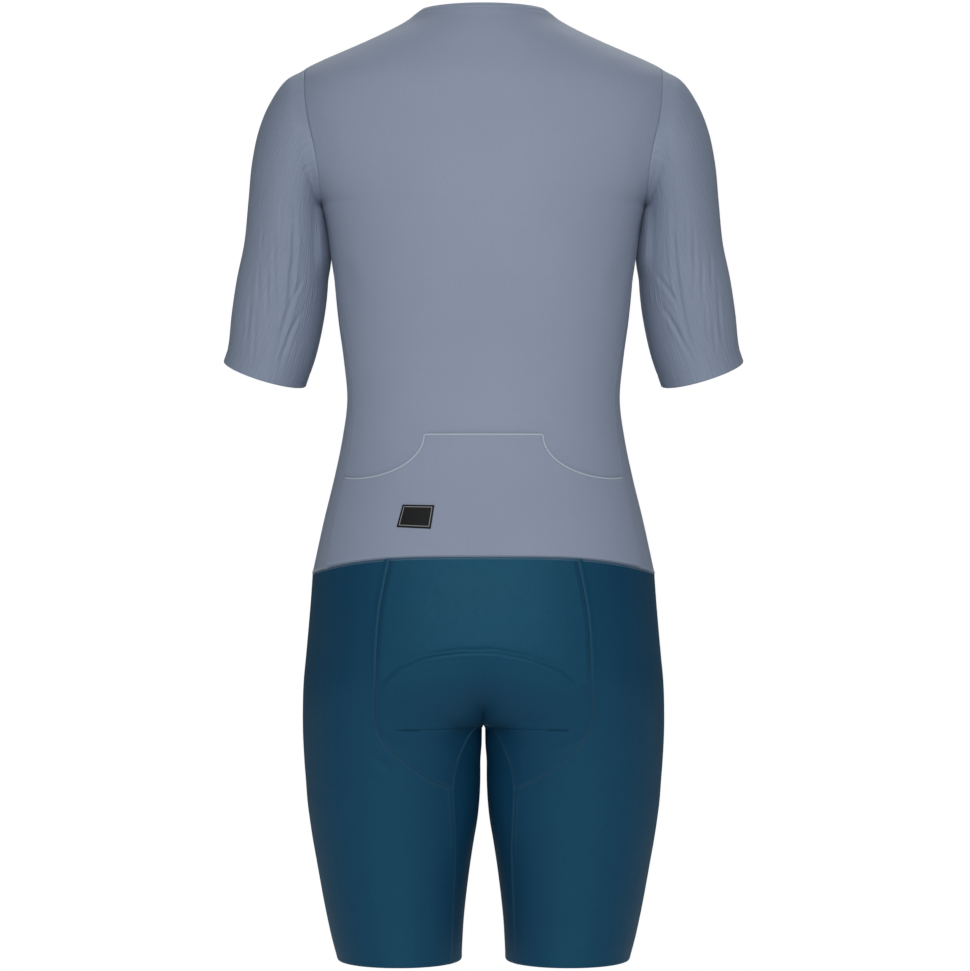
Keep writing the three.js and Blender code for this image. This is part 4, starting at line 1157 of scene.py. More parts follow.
def flatlock_tree() -> bpy.types.NodeTree:
    """The tree of a flat seam: two rows of needle stitches and slanted threads over them."""
    tree = Tree(
        "flatlock_seam",
        {
            "Pitch": ("NodeSocketFloat", 0.0022),
            "Half Width": ("NodeSocketFloat", 0.0022),
            "Thread": ("NodeSocketFloat", 0.00024),
            "Slant": ("NodeSocketFloat", 0.9),
            "Cover": ("NodeSocketFloat", 1.0),
            "Seed": ("NodeSocketInt", 4),
            "Material": ("NodeSocketMaterial", None),
        },
    )
    start = tree.start
    points, turn = placed_along(tree, start["Pitch"])
    ball = tree.node("GeometryNodeMeshIcoSphere", Radius=1.0, Subdivisions=1).outputs["Mesh"]
    wobble = tree.node(
        "FunctionNodeRandomValue", {"data_type": "FLOAT"}, Seed=start["Seed"]
    )
    floats = [s for s in wobble.inputs if s.type == "VALUE"]
    floats[0].default_value, floats[1].default_value = -0.12, 0.12
    jitter = next(s for s in wobble.outputs if s.type == "VALUE")
    needle = tree.vector(tree.math("MULTIPLY", start["Pitch"], 0.44), start["Thread"], start["Thread"])
    reach = tree.math("MULTIPLY", start["Half Width"], 1.12)
    over = tree.math("MULTIPLY", start["Thread"], start["Cover"])
    cover = tree.vector(reach, over, over)
    joined = tree.node("GeometryNodeJoinGeometry")
    rows = (
        (needle, start["Half Width"], 0.0, 0.0),
        (needle, tree.math("MULTIPLY", start["Half Width"], -1.0), 0.0, 0.0),
        (cover, 0.0, start["Slant"], tree.math("MULTIPLY", start["Thread"], 0.8)),
    )
    for size, aside, slant, lift in rows:
        shape = tree.node("GeometryNodeTransform", Geometry=ball, Scale=size).outputs[0]
        spots = tree.node(
            "GeometryNodeInstanceOnPoints", Points=points, Instance=shape, Rotation=turn
        ).outputs[0]
        moved = tree.node(
            "GeometryNodeTranslateInstances", Instances=spots, Translation=tree.vector(0.0, aside, lift)
        ).outputs[0]
        spin = tree.vector(0.0, 0.0, tree.math("ADD", slant, jitter))
        turned = tree.node("GeometryNodeRotateInstances", Instances=moved, Rotation=spin).outputs[0]
        tree.put(joined.inputs[0], turned)
    whole = tree.node("GeometryNodeRealizeInstances", Geometry=joined.outputs[0]).outputs[0]
    done = tree.node("GeometryNodeSetMaterial", Geometry=whole, Material=start["Material"])
    tree.put(tree.end[0], done.outputs[0])
    return tree.group


def running_tree() -> bpy.types.NodeTree:
    """The tree of a single row of stitches."""
    tree = Tree(
        "running_stitch",
        {
            "Pitch": ("NodeSocketFloat", 0.0026),
            "Length": ("NodeSocketFloat", 0.0011),
            "Thread": ("NodeSocketFloat", 0.00024),
            "Seed": ("NodeSocketInt", 7),
            "Material": ("NodeSocketMaterial", None),
        },
    )
    start = tree.start
    points, turn = placed_along(tree, start["Pitch"])
    size = tree.vector(start["Length"], start["Thread"], start["Thread"])
    ball = tree.node("GeometryNodeMeshIcoSphere", Radius=1.0, Subdivisions=1).outputs["Mesh"]
    shape = tree.node("GeometryNodeTransform", Geometry=ball, Scale=size).outputs[0]
    spots = tree.node("GeometryNodeInstanceOnPoints", Points=points, Instance=shape, Rotation=turn).outputs[0]
    wobble = tree.node("FunctionNodeRandomValue", {"data_type": "FLOAT"}, Seed=start["Seed"])
    floats = [s for s in wobble.inputs if s.type == "VALUE"]
    floats[0].default_value, floats[1].default_value = -0.08, 0.08
    jitter = next(s for s in wobble.outputs if s.type == "VALUE")
    turned = tree.node(
        "GeometryNodeRotateInstances", Instances=spots, Rotation=tree.vector(0.0, 0.0, jitter)
    ).outputs[0]
    whole = tree.node("GeometryNodeRealizeInstances", Geometry=turned).outputs[0]
    done = tree.node("GeometryNodeSetMaterial", Geometry=whole, Material=start["Material"])
    tree.put(tree.end[0], done.outputs[0])
    return tree.group


def coil_tree() -> bpy.types.NodeTree:
    """The tree of a closed zip coil: loops that reach in from both sides by turns."""
    tree = Tree(
        "zip_coil",
        {
            "Pitch": ("NodeSocketFloat", 0.00075),
            "Reach": ("NodeSocketFloat", 0.0014),
            "Aside": ("NodeSocketFloat", 0.00095),
            "Wire": ("NodeSocketFloat", 0.0004),
            "Height": ("NodeSocketFloat", 0.0007),
            "Lean": ("NodeSocketFloat", 0.16),
            "Seed": ("NodeSocketInt", 1),
            "Material": ("NodeSocketMaterial", None),
        },
    )
    start = tree.start
    points, turn = placed_along(tree, start["Pitch"])
    index = tree.node("GeometryNodeInputIndex").outputs[0]
    parity = tree.math("MODULO", index, 2.0)
    side = tree.math("SUBTRACT", tree.math("MULTIPLY", parity, 2.0), 1.0)
    ball = tree.node("GeometryNodeMeshUVSphere", Radius=1.0, Segments=8, Rings=5).outputs["Mesh"]
    size = tree.vector(start["Wire"], start["Reach"], start["Height"])
    shape = tree.node("GeometryNodeTransform", Geometry=ball, Scale=size).outputs[0]
    spots = tree.node("GeometryNodeInstanceOnPoints", Points=points, Instance=shape, Rotation=turn).outputs[0]
    shift = tree.vector(0.0, tree.math("MULTIPLY", side, start["Aside"]), 0.0)
    moved = tree.node("GeometryNodeTranslateInstances", Instances=spots, Translation=shift).outputs[0]
    lean = tree.vector(0.0, 0.0, tree.math("MULTIPLY", side, start["Lean"]))
    turned = tree.node("GeometryNodeRotateInstances", Instances=moved, Rotation=lean).outputs[0]
    whole = tree.node("GeometryNodeRealizeInstances", Geometry=turned).outputs[0]
    done = tree.node("GeometryNodeSetMaterial", Geometry=whole, Material=start["Material"])
    tree.put(tree.end[0], done.outputs[0])
    return tree.group


def within_torso(points: Array) -> Array:
    """Points on the body's middle line, level with points on the cloth."""
    return points * np.array([0.0, 0.0, 1.0])


def within_leg(points: Array) -> Array:
    """Points in the middle of a leg, level with points on the cloth."""
    x = np.sign(points[:, 0]) * LEG("outer", points[:, 2]) / 2
    return np.stack([x, 0 * x + 8, points[:, 2]], -1)


def within_hips(points: Array) -> Array:
    """Points within the hips, or within a leg below the crotch."""
    middle = points * np.array([0.0, 0.0, 1.0]) + np.array([0.0, 8.0, 0.0])
    return np.where(points[:, 2:] > CROTCH, middle, within_leg(points))


def within_sleeve(points: Array) -> Array:
    """Points on the sleeve's own middle line, level with points on the cloth."""
    drop = np.clip(-points[:, 2], 100, 360)
    x = np.sign(points[:, 0]) * (185 + 0.12 * (drop - 100))
    return np.stack([x, 0 * x - 10, np.minimum(points[:, 2], -120)], -1)


def under_arm(z: Array) -> Array:
    """How much the sleeve and the side press together at each height, up to 1."""
    return (1 - smoothstep(z, -197, -189)) * smoothstep(z, -268, -240)


@dataclass
class UpperBody:
    """The upper back, the two fronts, and the seams between them."""

    cell: float = 4.0
    zip_opening: float = 2.9
    topstitch: int = 7
    creases_back: tuple[Crease, ...] = (
        Crease(((150, -232), (138, -262), (131, -300)), 9, 0.5),
        Crease(((146, -250), (128, -286)), 7, 0.35),
        Crease(((-148, -226), (-139, -258), (-129, -306)), 9, 0.5),
        Crease(((-143, -248), (-126, -280)), 6, 0.35),
        Crease(((133, -372), (104, -382), (70, -379)), 12, 0.45),
        Crease(((128, -402), (98, -396)), 9, 0.3),
        Crease(((-131, -376), (-98, -388), (-62, -383)), 12, 0.45),
        Crease(((-127, -404), (-102, -399)), 8, 0.3),
        Crease(((176, -96), (158, -128), (152, -168)), 8, 0.45),
        Crease(((172, -122), (164, -150)), 5, 0.3),
        Crease(((-176, -92), (-160, -126), (-154, -172)), 8, 0.45),
        Crease(((-173, -118), (-166, -146)), 5, 0.3),
        Crease(((152, -520), (146, -556)), 7, 0.3),
        Crease(((-155, -516), (-151, -554)), 6, 0.35),
    )
    creases_front: tuple[Crease, ...] = (
        Crease(((156, -226), (132, -250), (104, -262)), 11, 0.8, Facing.CHEST),
        Crease(((150, -256), (128, -280)), 8, 0.5, Facing.CHEST),
        Crease(((166, -150), (146, -178), (118, -196)), 12, 0.7, Facing.CHEST),
        Crease(((134, -360), (100, -372), (64, -368)), 13, 0.7, Facing.CHEST),
        Crease(((132, -392), (92, -402), (52, -396)), 11, 0.55, Facing.CHEST),
        Crease(((128, -424), (104, -430)), 9, 0.4, Facing.CHEST),
        Crease(((26, -470), (58, -482), (96, -476)), 12, 0.5, Facing.CHEST),
        Crease(((146, -540), (112, -528)), 9, 0.4, Facing.CHEST),
    )

    def build(self) -> None:
        """Works out the three panels."""
        edges = (lambda s: torso_edge(s, True), lambda s: torso_edge(s, False), constant(BACK))
        self.sides = heights(torso_point, edges, NECK_SEAM, WAIST, self.cell, FINE, FINE)
        anchors = np.array([SHOULDER_TIP, ARMPIT])
        for anchor in anchors:
            self.sides[np.argmin(np.abs(self.sides - anchor))] = anchor
        half = patch(torso_point, self.sides, constant(BACK), edges[0], self.cell, (0.0,), FINE)
        whole = np.concatenate([mirrored(half)[:, ::-1], half[:, 1:]], 1)
        self.back = Cloth("upper_back", [whole], within_torso)
        opening = lambda s: zip_angle(s, self.zip_opening)
        front = patch(torso_point, self.sides, opening, edges[1], self.cell)
        self.left = Cloth("upper_front_left", [front], within_torso)
        self.right = Cloth("upper_front_right", [mirrored(front)], within_torso)
        for column in (0, -1):
            self.back.finish_edge(self.back.edge(0, column=column), SEWN)
        for row, border in ((0, SEWN), (-1, FLAT)):
            self.back.finish_edge(self.back.edge(0, row=row), border)
        self.back.crease(self.creases_back)
        self.meet_sleeve(self.back)
        for cloth, turn_over in ((self.left, False), (self.right, True)):
            cloth.finish_edge(cloth.edge(0, column=0), FOLDED)
            cloth.finish_edge(cloth.edge(0, column=-1), SEWN)
            for row, border in ((0, SEWN), (-1, FLAT)):
                cloth.finish_edge(cloth.edge(0, row=row), border)
            cloth.crease(self.creases_front, turn_over)
            self.meet_sleeve(cloth)

    def tip_row(self, height: float) -> int:
        """The number of the row at a height."""
        return int(np.argmin(np.abs(self.sides - height)))

    @staticmethod
    def meet_sleeve(cloth: Cloth) -> None:
        """Lets the cloth under the arm bulge out to the sleeve."""
        facing = smoothstep(np.abs(cloth.normals[:, 0]), 0.5, 0.95)
        cloth.creased = cloth.creased + 1.7 * under_arm(cloth.points[:, 2]) * facing

    def seams(self) -> list[Line]:
        """The lines of the shoulder, armhole, side, neck and waist seams."""
        lines = [self.back.line(self.back.edge(0, column=c)) for c in (0, -1)]
        tip, pit = self.tip_row(SHOULDER_TIP), self.tip_row(ARMPIT)
        for cloth in (self.left, self.right):
            edge = cloth.edge(0, column=-1)[tip : pit + 1]
            lines.append(cloth.line(edge))
            lines.append(cloth.line(cloth.edge(0, row=-1)))
        lines.append(self.back.line(self.back.edge(0, row=-1)))
        return lines

    def topstitches(self) -> list[Line]:
        """The lines of stitches beside the zip."""
        return [c.line(c.edge(0, column=self.topstitch), 0.2) for c in (self.left, self.right)]

    def make(self, wardrobe: Wardrobe) -> None:
        """Makes the panels' objects and dresses them."""
        sizes = {"upper_back": (self.back.width, self.back.length)}
        for cloth in (self.back, self.left, self.right):
            piece = cloth.wall()
            wardrobe.dress(piece, Finish.UPPER)
            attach(piece, SUIT_BODY)
            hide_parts(cloth.name)
            width, length = sizes.get(cloth.name, (cloth.width, cloth.length))


@dataclass
class NeckBinding:
    """The narrow rolled band round the neck, open at the zip."""

    cell: float = 2.6
    zip_opening: float = 2.9
    rows: int = 12
    roll: float = 0.7

    def build(self) -> None:
        """Works out the band from the zip on the left round the back to the zip on the right."""
        sides = np.linspace(NECK_EDGE, NECK_SEAM, self.rows)
        opening = lambda s: zip_angle(s, self.zip_opening)
        front = patch(torso_point, sides, opening, constant(SIDE), self.cell, (0.0,), (0.0,))
        back = patch(torso_point, sides, constant(SIDE), constant(BACK), self.cell, (0.0,), (0.0,))
        left = np.concatenate([front, back[:, 1:]], 1)
        whole = np.concatenate([left, mirrored(left)[:, -2::-1]], 1)
        self.cloth = Cloth("neck_binding", [whole], within_torso)
        number = self.cloth.number[0]
        share = np.linspace(0, 1, self.rows)
        roll = self.roll * np.sqrt(np.clip(1 - (2 * share - 1) ** 4, 0, 1)) - 0.35
        self.cloth.raised[number] = roll[:, None]
        self.cloth.seam[number[-1]] = 1.0

    def make(self, wardrobe: Wardrobe) -> None:
        """Makes the band's object and dresses it."""
        piece = self.cloth.wall(1.1)
        wardrobe.dress(piece, Finish.UPPER)
        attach(piece, SUIT_BODY)
        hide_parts(self.cloth.name)


@dataclass
class Sleeve:
    """One set-in sleeve, from the armhole to the cuff."""

    name: str
    left: bool
    armhole_rows: Array
    creases: tuple[Crease, ...]
    rows: int = 100
    columns: int = 250
    cuff_at: float = 13.0

    def armhole(self) -> tuple[Array, Array]:
        """The armhole's points, down its back and up its front, and each one's angle on the sleeve."""
        sides = self.armhole_rows
        down = torso_point(torso_edge(sides, True), sides)
        up = torso_point(torso_edge(sides, False), sides)[::-1]
        angles = []
        for start, line in ((0.0, down), (math.pi, up)):
            along = np.concatenate([[0], np.cumsum(np.linalg.norm(np.diff(line, axis=0), axis=1))])
            angles.append(start + math.pi * along / along[-1])
        return np.concatenate([down, up[1:]]), np.concatenate([angles[0], angles[1][1:]])

    @staticmethod
    def ring(angle: Array) -> Array:
        """The sleeve's rings at each angle, as rings by angles by three."""
        c, s = np.cos(angle)[None, :], np.sin(angle)[None, :]
        ox, oz, ix, iz, depth, middle, droop = (SLEEVE[:, k][:, None] for k in range(7))
        x = (ox + ix) / 2 + (ox - ix) / 2 * c
        z = (oz + iz) / 2 + (oz - iz) / 2 * c - droop * s
        return np.stack([x, middle + depth * s, z], -1)

    @staticmethod
    def curve(points: Array, at: Array) -> Array:
        """Centripetal Catmull-Rom curves through rows of points.

        Args:
            points: Rows by curves by three.
            at: Where on the curves, from 0 to the last row's number.

        Returns:
            Places by curves by three.
        """
        before = 2 * points[0] - points[1]
        after = 2 * points[-1] - points[-2]
        p = np.concatenate([before[None], points, after[None]])
        gap = np.maximum(np.linalg.norm(np.diff(p, axis=0), axis=2) ** 0.5, 1e-4)
        i = np.clip(at.astype(int), 0, len(points) - 2)
        t = (at - i)[:, None, None]
        p0, p1, p2, p3 = p[i], p[i + 1], p[i + 2], p[i + 3]
        d0, d1, d2 = gap[i][..., None], gap[i + 1][..., None], gap[i + 2][..., None]
        m1 = ((p1 - p0) / d0 - (p2 - p0) / (d0 + d1) + (p2 - p1) / d1) * d1
        m2 = ((p2 - p1) / d1 - (p3 - p1) / (d1 + d2) + (p3 - p2) / d2) * d1
        a = 2 * p1 - 2 * p2 + m1 + m2
        b = -3 * p1 + 3 * p2 - 2 * m1 - m2
        return ((a * t + b) * t + m1) * t + p1

    def build(self) -> None:
        """Works out the sleeve, its seams and its creases."""
        points, angles = self.armhole()
        side = 1.0 if self.left else -1.0
        at = np.linspace(0, 2 * math.pi, self.columns + 1)
        start = np.stack([np.interp(at, angles, points[:, k]) for k in range(3)], -1)
        rings = np.concatenate([start[None], self.ring(at)])
        last = len(SLEEVE)
        fine = self.curve(rings, np.linspace(0, last, 500))
        along = [resample(fine[:, k], self.rows, FINE, (0.0, 0.4, 1.0, 1.8, 3.0)) for k in range(len(at))]
        grid = np.stack(along, 1)
        grid[0] = start
        grid[:, -1] = grid[:, 0]
        self.cloth = Cloth(self.name, [grid if self.left else mirrored(grid)], within_sleeve)
        self.cloth.finish_edge(self.cloth.edge(0, row=0), SEWN)
        self.cloth.finish_edge(self.cloth.edge(0, row=-1), BONDED, False)
        away = self.cloth.distance(self.cloth.points[self.cloth.edge(0, row=-1)])
        self.cloth.raised = self.cloth.raised - 0.3 * np.exp(-(((away - self.cuff_at) / 1.6) ** 2))
        self.cloth.crease([replace(c, width=0.72 * c.width, depth=1.15 * c.depth) for c in self.creases])
        facing = smoothstep(-side * self.cloth.normals[:, 0], 0.5, 0.95)
        near = 1 - smoothstep(side * self.cloth.points[:, 0], 166, 172)
        self.cloth.creased = self.cloth.creased + 3.2 * under_arm(self.cloth.points[:, 2]) * facing * near
        under = self.cloth.edge(0, column=int(0.472 * self.columns))
        away = self.cloth.distance(self.cloth.points[under])
        self.cloth.raised = self.cloth.raised - 0.35 * np.exp(-((away / 1.3) ** 2)) + 0.25 * np.exp(
            -(((away - 3.2) / 1.7) ** 2)
        )
        self.under = under

    def seams(self) -> list[Line]:
        """The line of the underarm seam."""
        return [self.cloth.line(self.under[4:-3])]

    def make(self, wardrobe: Wardrobe) -> None:
        """Makes the sleeve's object and dresses it."""
        piece = self.cloth.wall()
        wardrobe.dress(piece, Finish.SLEEVE)
        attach(piece, SUIT_BODY)
        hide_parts(self.cloth.name)


LEFT_SLEEVE_CREASES = (
    Crease(((190.5, -192), (190.5, -240), (193.6, -262), (195.6, -291), (204.7, -324), (213.5, -356)), 3.4, 1.25),
    Crease(((181.5, -264), (190.3, -282), (196, -300)), 2.6, 0.8),
    Crease(((183, -296), (194.6, -318), (203, -340), (209, -362)), 2.8, 0.95),
    Crease(((203.8, -190), (204.6, -234)), 2.4, 0.45),
    Crease(((210.5, -222), (211, -262), (210.7, -308)), 2.6, 0.7),
    Crease(((218.2, -252), (219, -318)), 2.4, 0.55),
    Crease(((227.3, -250), (228, -292)), 2.2, 0.5),
    Crease(((235.8, -280), (239, -318), (243, -342)), 2.4, 0.6),
    Crease(((230.5, -300), (232, -330), (236, -358)), 2.2, 0.5),
    Crease(((200, -206), (199, -262)), 2.6, 0.4),
    Crease(((223, -214), (224.5, -246)), 2.2, 0.35),
    Crease(((181, -214), (186, -208)), 1.2, 0.4),
    Crease(((180, -223), (185.5, -217)), 1.2, 0.4),
    Crease(((178.6, -235), (184, -228)), 1.2, 0.45),
    Crease(((178, -246), (183, -240)), 1.1, 0.4),
    Crease(((176.6, -256), (182, -249)), 1.2, 0.4),
    Crease(((178, -122), (186, -134)), 2.2, 0.45),
    Crease(((176, -134), (189, -146)), 2.4, 0.4),
    Crease(((174, -152), (183, -162)), 2.0, 0.35),
    Crease(((244, -150), (247, -204), (250, -240)), 5.0, 0.4),
    Crease(((182, -250), (194, -286), (214, -330), (222, -356)), 4.0, 1.0, Facing.CHEST),
    Crease(((192, -222), (204, -262), (216, -296)), 4.0, 0.8, Facing.CHEST),
    Crease(((206, -206), (214, -246)), 3.2, 0.6, Facing.CHEST),
    Crease(((222, -220), (228, -270), (236, -318)), 3.4, 0.7, Facing.CHEST),
    Crease(((238, -262), (246, -322)), 3.0, 0.55, Facing.CHEST),
    Crease(((174, -232), (184, -266)), 3.0, 0.6, Facing.CHEST),
    Crease(((182, -128), (198, -152), (204, -184)), 4.6, 0.5, Facing.CHEST),
    Crease(((178, -158), (190, -186)), 3.6, 0.45, Facing.CHEST),
)
RIGHT_SLEEVE_CREASES = (
    Crease(((-190.6, -190), (-191.8, -232), (-195, -266), (-200, -296), (-207, -326), (-215, -352)), 3.3, 1.15),
    Crease(((-173.6, -259), (-184, -274), (-194.6, -289), (-198.7, -312)), 2.7, 0.85),
    Crease(((-178.6, -289), (-194.6, -316), (-206, -338), (-216, -358)), 2.8, 1.0),
    Crease(((-203.8, -196), (-205, -252)), 2.4, 0.5),
    Crease(((-211.8, -214), (-213, -260), (-211, -296)), 2.6, 0.65),
    Crease(((-220.8, -244), (-221.6, -302)), 2.4, 0.6),
    Crease(((-224, -282), (-226.6, -330)), 2.2, 0.5),
    Crease(((-229.9, -238), (-231, -280)), 2.3, 0.5),
    Crease(((-237, -272), (-240.6, -318), (-244, -340)), 2.4, 0.6),
    Crease(((-199, -212), (-198, -256)), 2.6, 0.4),
    Crease(((-232, -306), (-236, -346)), 2.2, 0.45),
    Crease(((-179, -212), (-184.6, -206)), 1.2, 0.4),
    Crease(((-178.6, -222), (-184, -216)), 1.2, 0.45),
    Crease(((-177.6, -233), (-183, -226)), 1.2, 0.4),
    Crease(((-176.6, -247), (-182, -240)), 1.2, 0.4),
    Crease(((-175.6, -258), (-181, -252)), 1.1, 0.4),
    Crease(((-179, -118), (-186, -131)), 2.2, 0.4),
    Crease(((-175, -140), (-186, -152)), 2.4, 0.4),
    Crease(((-245, -146), (-248, -200), (-251, -236)), 5.0, 0.4),
    Crease(((-181, -246), (-192, -282), (-211, -326), (-218, -352)), 4.0, 1.0, Facing.CHEST),
    Crease(((-190, -218), (-205, -258), (-214, -290)), 4.0, 0.75, Facing.CHEST),
    Crease(((-208, -210), (-214, -252)), 3.2, 0.6, Facing.CHEST),
    Crease(((-224, -226), (-230, -276), (-238, -322)), 3.4, 0.7, Facing.CHEST),
    Crease(((-240, -258), (-247, -316)), 3.0, 0.5, Facing.CHEST),
    Crease(((-175, -236), (-186, -270)), 3.0, 0.55, Facing.CHEST),
    Crease(((-184, -132), (-197, -156), (-205, -190)), 4.6, 0.5, Facing.CHEST),
    Crease(((-177, -154), (-188, -180)), 3.6, 0.4, Facing.CHEST),
)


@dataclass
class Shorts:
    """The seat, the two legs and the one-piece inner thighs."""

    cell: float = 4.0
    pad_relief: float = 1.5
    arc_line: tuple[tuple[float, float], ...] = (
        (98.5, -668.0),
        (84.0, -653.0),
        (56.0, -641.5),
        (22.0, -637.0),
        (-12.0, -637.0),
        (-43.0, -643.0),
        (-74.0, -654.5),
        (-90.0, -668.0),
    )
    creases_back: tuple[Crease, ...] = (
        Crease(((112, -742), (100, -750), (88, -763)), 4, 0.5),
        Crease(((-90, -756), (-68, -776), (-40, -790)), 4, 0.5),
        Crease(((-36, -792), (-30, -802)), 3, 0.35),
        Crease(((164, -600), (158, -650), (160, -700)), 14, 0.5),
        Crease(((-166, -606), (-160, -662), (-161, -706)), 14, 0.5),
        Crease(((120, -742), (140, -752), (160, -748)), 12, 0.55),
        Crease(((-118, -744), (-138, -755), (-160, -750)), 12, 0.5),
        Crease(((58, -586), (40, -600)), 10, 0.3),
        Crease(((-50, -584), (-36, -602)), 9, 0.3),
    )
    creases_front: tuple[Crease, ...] = (
        Crease(((16, -640), (60, -672), (116, -690), (160, -684)), 12, 1.0, Facing.CHEST),
        Crease(((-14, -644), (-56, -678), (-110, -694), (-158, -690)), 12, 1.0, Facing.CHEST),
        Crease(((12, -672), (48, -706), (84, -722)), 9, 0.8, Facing.CHEST),
        Crease(((-12, -676), (-44, -704), (-80, -724)), 9, 0.8, Facing.CHEST),
        Crease(((14, -694), (30, -722)), 6, 0.6, Facing.CHEST),
        Crease(((-13, -696), (-31, -726)), 6, 0.55, Facing.CHEST),
        Crease(((60, -600), (110, -612), (150, -604)), 12, 0.5, Facing.CHEST),
        Crease(((-54, -596), (-104, -610), (-148, -606)), 11, 0.5, Facing.CHEST),
        Crease(((64, -872), (98, -880), (126, -874)), 11, 0.5, Facing.CHEST),
        Crease(((-60, -880), (-92, -888), (-124, -880)), 11, 0.5, Facing.CHEST),
    )

    @staticmethod
    def seat_start(side: Array) -> Array:
        """The angle where the seat begins: the middle, or the inner thigh's seam below it."""
        side = np.asarray(side, float)
        seam = angle_at(shorts_point, side, INNER_SEAM("x", side), BACK, SIDE)
        return np.where(side >= GUSSET_TIP, BACK, seam)

    @classmethod
    def seat_end(cls, side: Array) -> Array:
        """The angle of the seam between seat and leg."""
        side = np.asarray(side, float)
        seam = angle_at(shorts_point, side, SEAT_SEAM("x", side), BACK, SIDE)
        return np.where(side > SEAT_TIP + 1e-6, seam, cls.seat_start(side))

    @staticmethod
    def leg_end(side: Array) -> Array:
        """The angle where the leg ends: the middle of the front, or the inner thigh's seam below it."""
        side = np.asarray(side, float)
        seam = angle_at(shorts_point, side, INNER_SEAM("x", side), FRONT, SIDE)
        return np.where(side >= GUSSET_TIP, FRONT, seam)

    def rows(self, top: float, bottom: float, start: Sequence[float], end: Sequence[float]) -> Array:
        """Heights of rows between two heights, even along the back and the front."""
        lines = (constant(0.7), constant(2.3), constant(0.02))
        return heights(shorts_point, lines, top, bottom, self.cell, start, end)

    def build(self) -> None:
        """Works out the four panels on the same rows, so that their seams meet."""
        upper = self.rows(WAIST, GUSSET_TIP, FINE, (0.0,))
        upper = upper[(upper > -631) | (upper < -681)]
        upper = np.sort(np.concatenate([upper, np.arange(-680.0, -631.5, 1.25)]))[::-1]
        middle = self.rows(GUSSET_TIP, SEAT_TIP, (0.0, 0.8, 1.8, 3.2), (0.0, 1.2, 2.6))
        lower = self.rows(SEAT_TIP, HEM, (0.0, 1.4), (0.0, 0.4, 1.0, 1.8, 3.0))
        seat_rows = np.concatenate([upper, middle[1:]])
        leg_rows = np.concatenate([seat_rows, lower[1:]])
        inner_rows = np.concatenate([middle, lower[1:]])
        seat = patch(shorts_point, seat_rows, self.seat_start, self.seat_end, self.cell)
        leg = patch(shorts_point, leg_rows, self.seat_end, self.leg_end, self.cell)
        behind = patch(shorts_point, inner_rows, constant(BACK), self.seat_start, self.cell, (0.0,))
        before = patch(shorts_point, inner_rows, constant(FRONT), self.leg_end, self.cell, (0.0,))
        self.seat = Cloth("seat", [seat, mirrored(seat)], within_hips)
        self.left = Cloth("leg_left", [leg], within_hips)
        self.right = Cloth("leg_right", [mirrored(leg)], within_hips)
        inner = [behind, before, mirrored(behind), mirrored(before)]
        self.gusset = Cloth("gusset", inner, within_leg)
        self.split = len(upper) - 1
        self.tail = len(middle) - 1
        self._edges()
        for cloth in (self.seat, self.left, self.right, self.gusset):
            cloth.crease(self.creases_back + self.creases_front)
            cloth.creased = cloth.creased + self.pad_form(cloth)

    def _edges(self) -> None:
        """Shapes the seams and the hems. The seat's seam flattens below the pad's top."""
        low, thigh = (-632, -700, 0.12), (-812, -880, 0.4)
        tail = self.split + self.tail
        for grid in (0, 1):
            self.seat.finish_edge(self.seat.edge(grid, row=0), FLAT)
            self.seat.finish_edge(self.seat.edge(grid, column=-1), SUNKEN, True, low)
            self.seat.finish_edge(self.seat.edge(grid, column=0)[self.split :], SEWN)
        for cloth in (self.left, self.right):
            cloth.finish_edge(cloth.edge(0, row=0), FLAT)
            cloth.finish_edge(cloth.edge(0, column=0)[: tail + 1], RAISED, True, low)
            cloth.finish_edge(cloth.edge(0, column=0)[tail:], RAISED, True, thigh)
            cloth.finish_edge(cloth.edge(0, column=-1), SEWN)
            cloth.finish_edge(cloth.edge(0, row=-1), BONDED, False)
        for grid in range(4):
            self.gusset.finish_edge(self.gusset.edge(grid, column=-1), SEWN, True, thigh)
            self.gusset.finish_edge(self.gusset.edge(grid, row=-1), BONDED, False)

    def pad_form(self, cloth: Cloth) -> Array:
        """How far the pad within raises the cloth over it."""
        x, y, z = np.abs(cloth.points[:, 0]), cloth.points[:, 1], cloth.points[:, 2]
        table = np.where(y > 0, PAD_BACK("x", np.clip(z, -744, -632)), PAD_FRONT("x", np.clip(z, -744, -658)))
        reach = table - x
        arc = np.interp(cloth.points[:, 0], *zip(*sorted(self.arc_line)))
        top = np.where(y > 0, arc - z, -658 - z)
        foot = z + 744
        rise = smoothstep(top, -1.5, 5.0) * smoothstep(reach, -5, 7) * smoothstep(foot, -14, 10)
        middle = 1 - smoothstep(np.abs(cloth.points[:, 0] + 6), 52, 96)
        lip = np.exp(-(((top - 4.2) / 2.4) ** 2)) * middle * (y > 0)
        dip = np.exp(-(((top + 0.6) / 1.7) ** 2)) * (0.25 + 0.75 * middle) * smoothstep(reach, -8, 4) * (y > 0)
        second = np.exp(-(((top - 17) / 4.0) ** 2)) * middle * (y > 0)
        return self.pad_relief * rise + 0.6 * lip - 1.0 * dip - 0.2 * second

    def seams(self) -> list[Line]:
        """The lines of the seat, inner thigh and front seams."""
        lines = []
        for cloth in (self.left, self.right):
            lines.append(cloth.line(cloth.edge(0, column=0)[: self.split + self.tail + 1]))
            lines.append(cloth.line(cloth.edge(0, column=-1)[: self.split + 1]))
        for grid in range(4):
            lines.append(self.gusset.line(self.gusset.edge(grid, column=-1)[:-2]))
        return [lines[0], lines[1], lines[2], *lines[4:]]

    def make(self, wardrobe: Wardrobe) -> None:
        """Makes the panels' objects and dresses them."""
        for cloth in (self.seat, self.left, self.right, self.gusset):
            piece = cloth.wall()
            wardrobe.dress(piece, Finish.SHORTS)
            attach(piece, SUIT_BODY)
            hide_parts(cloth.name)


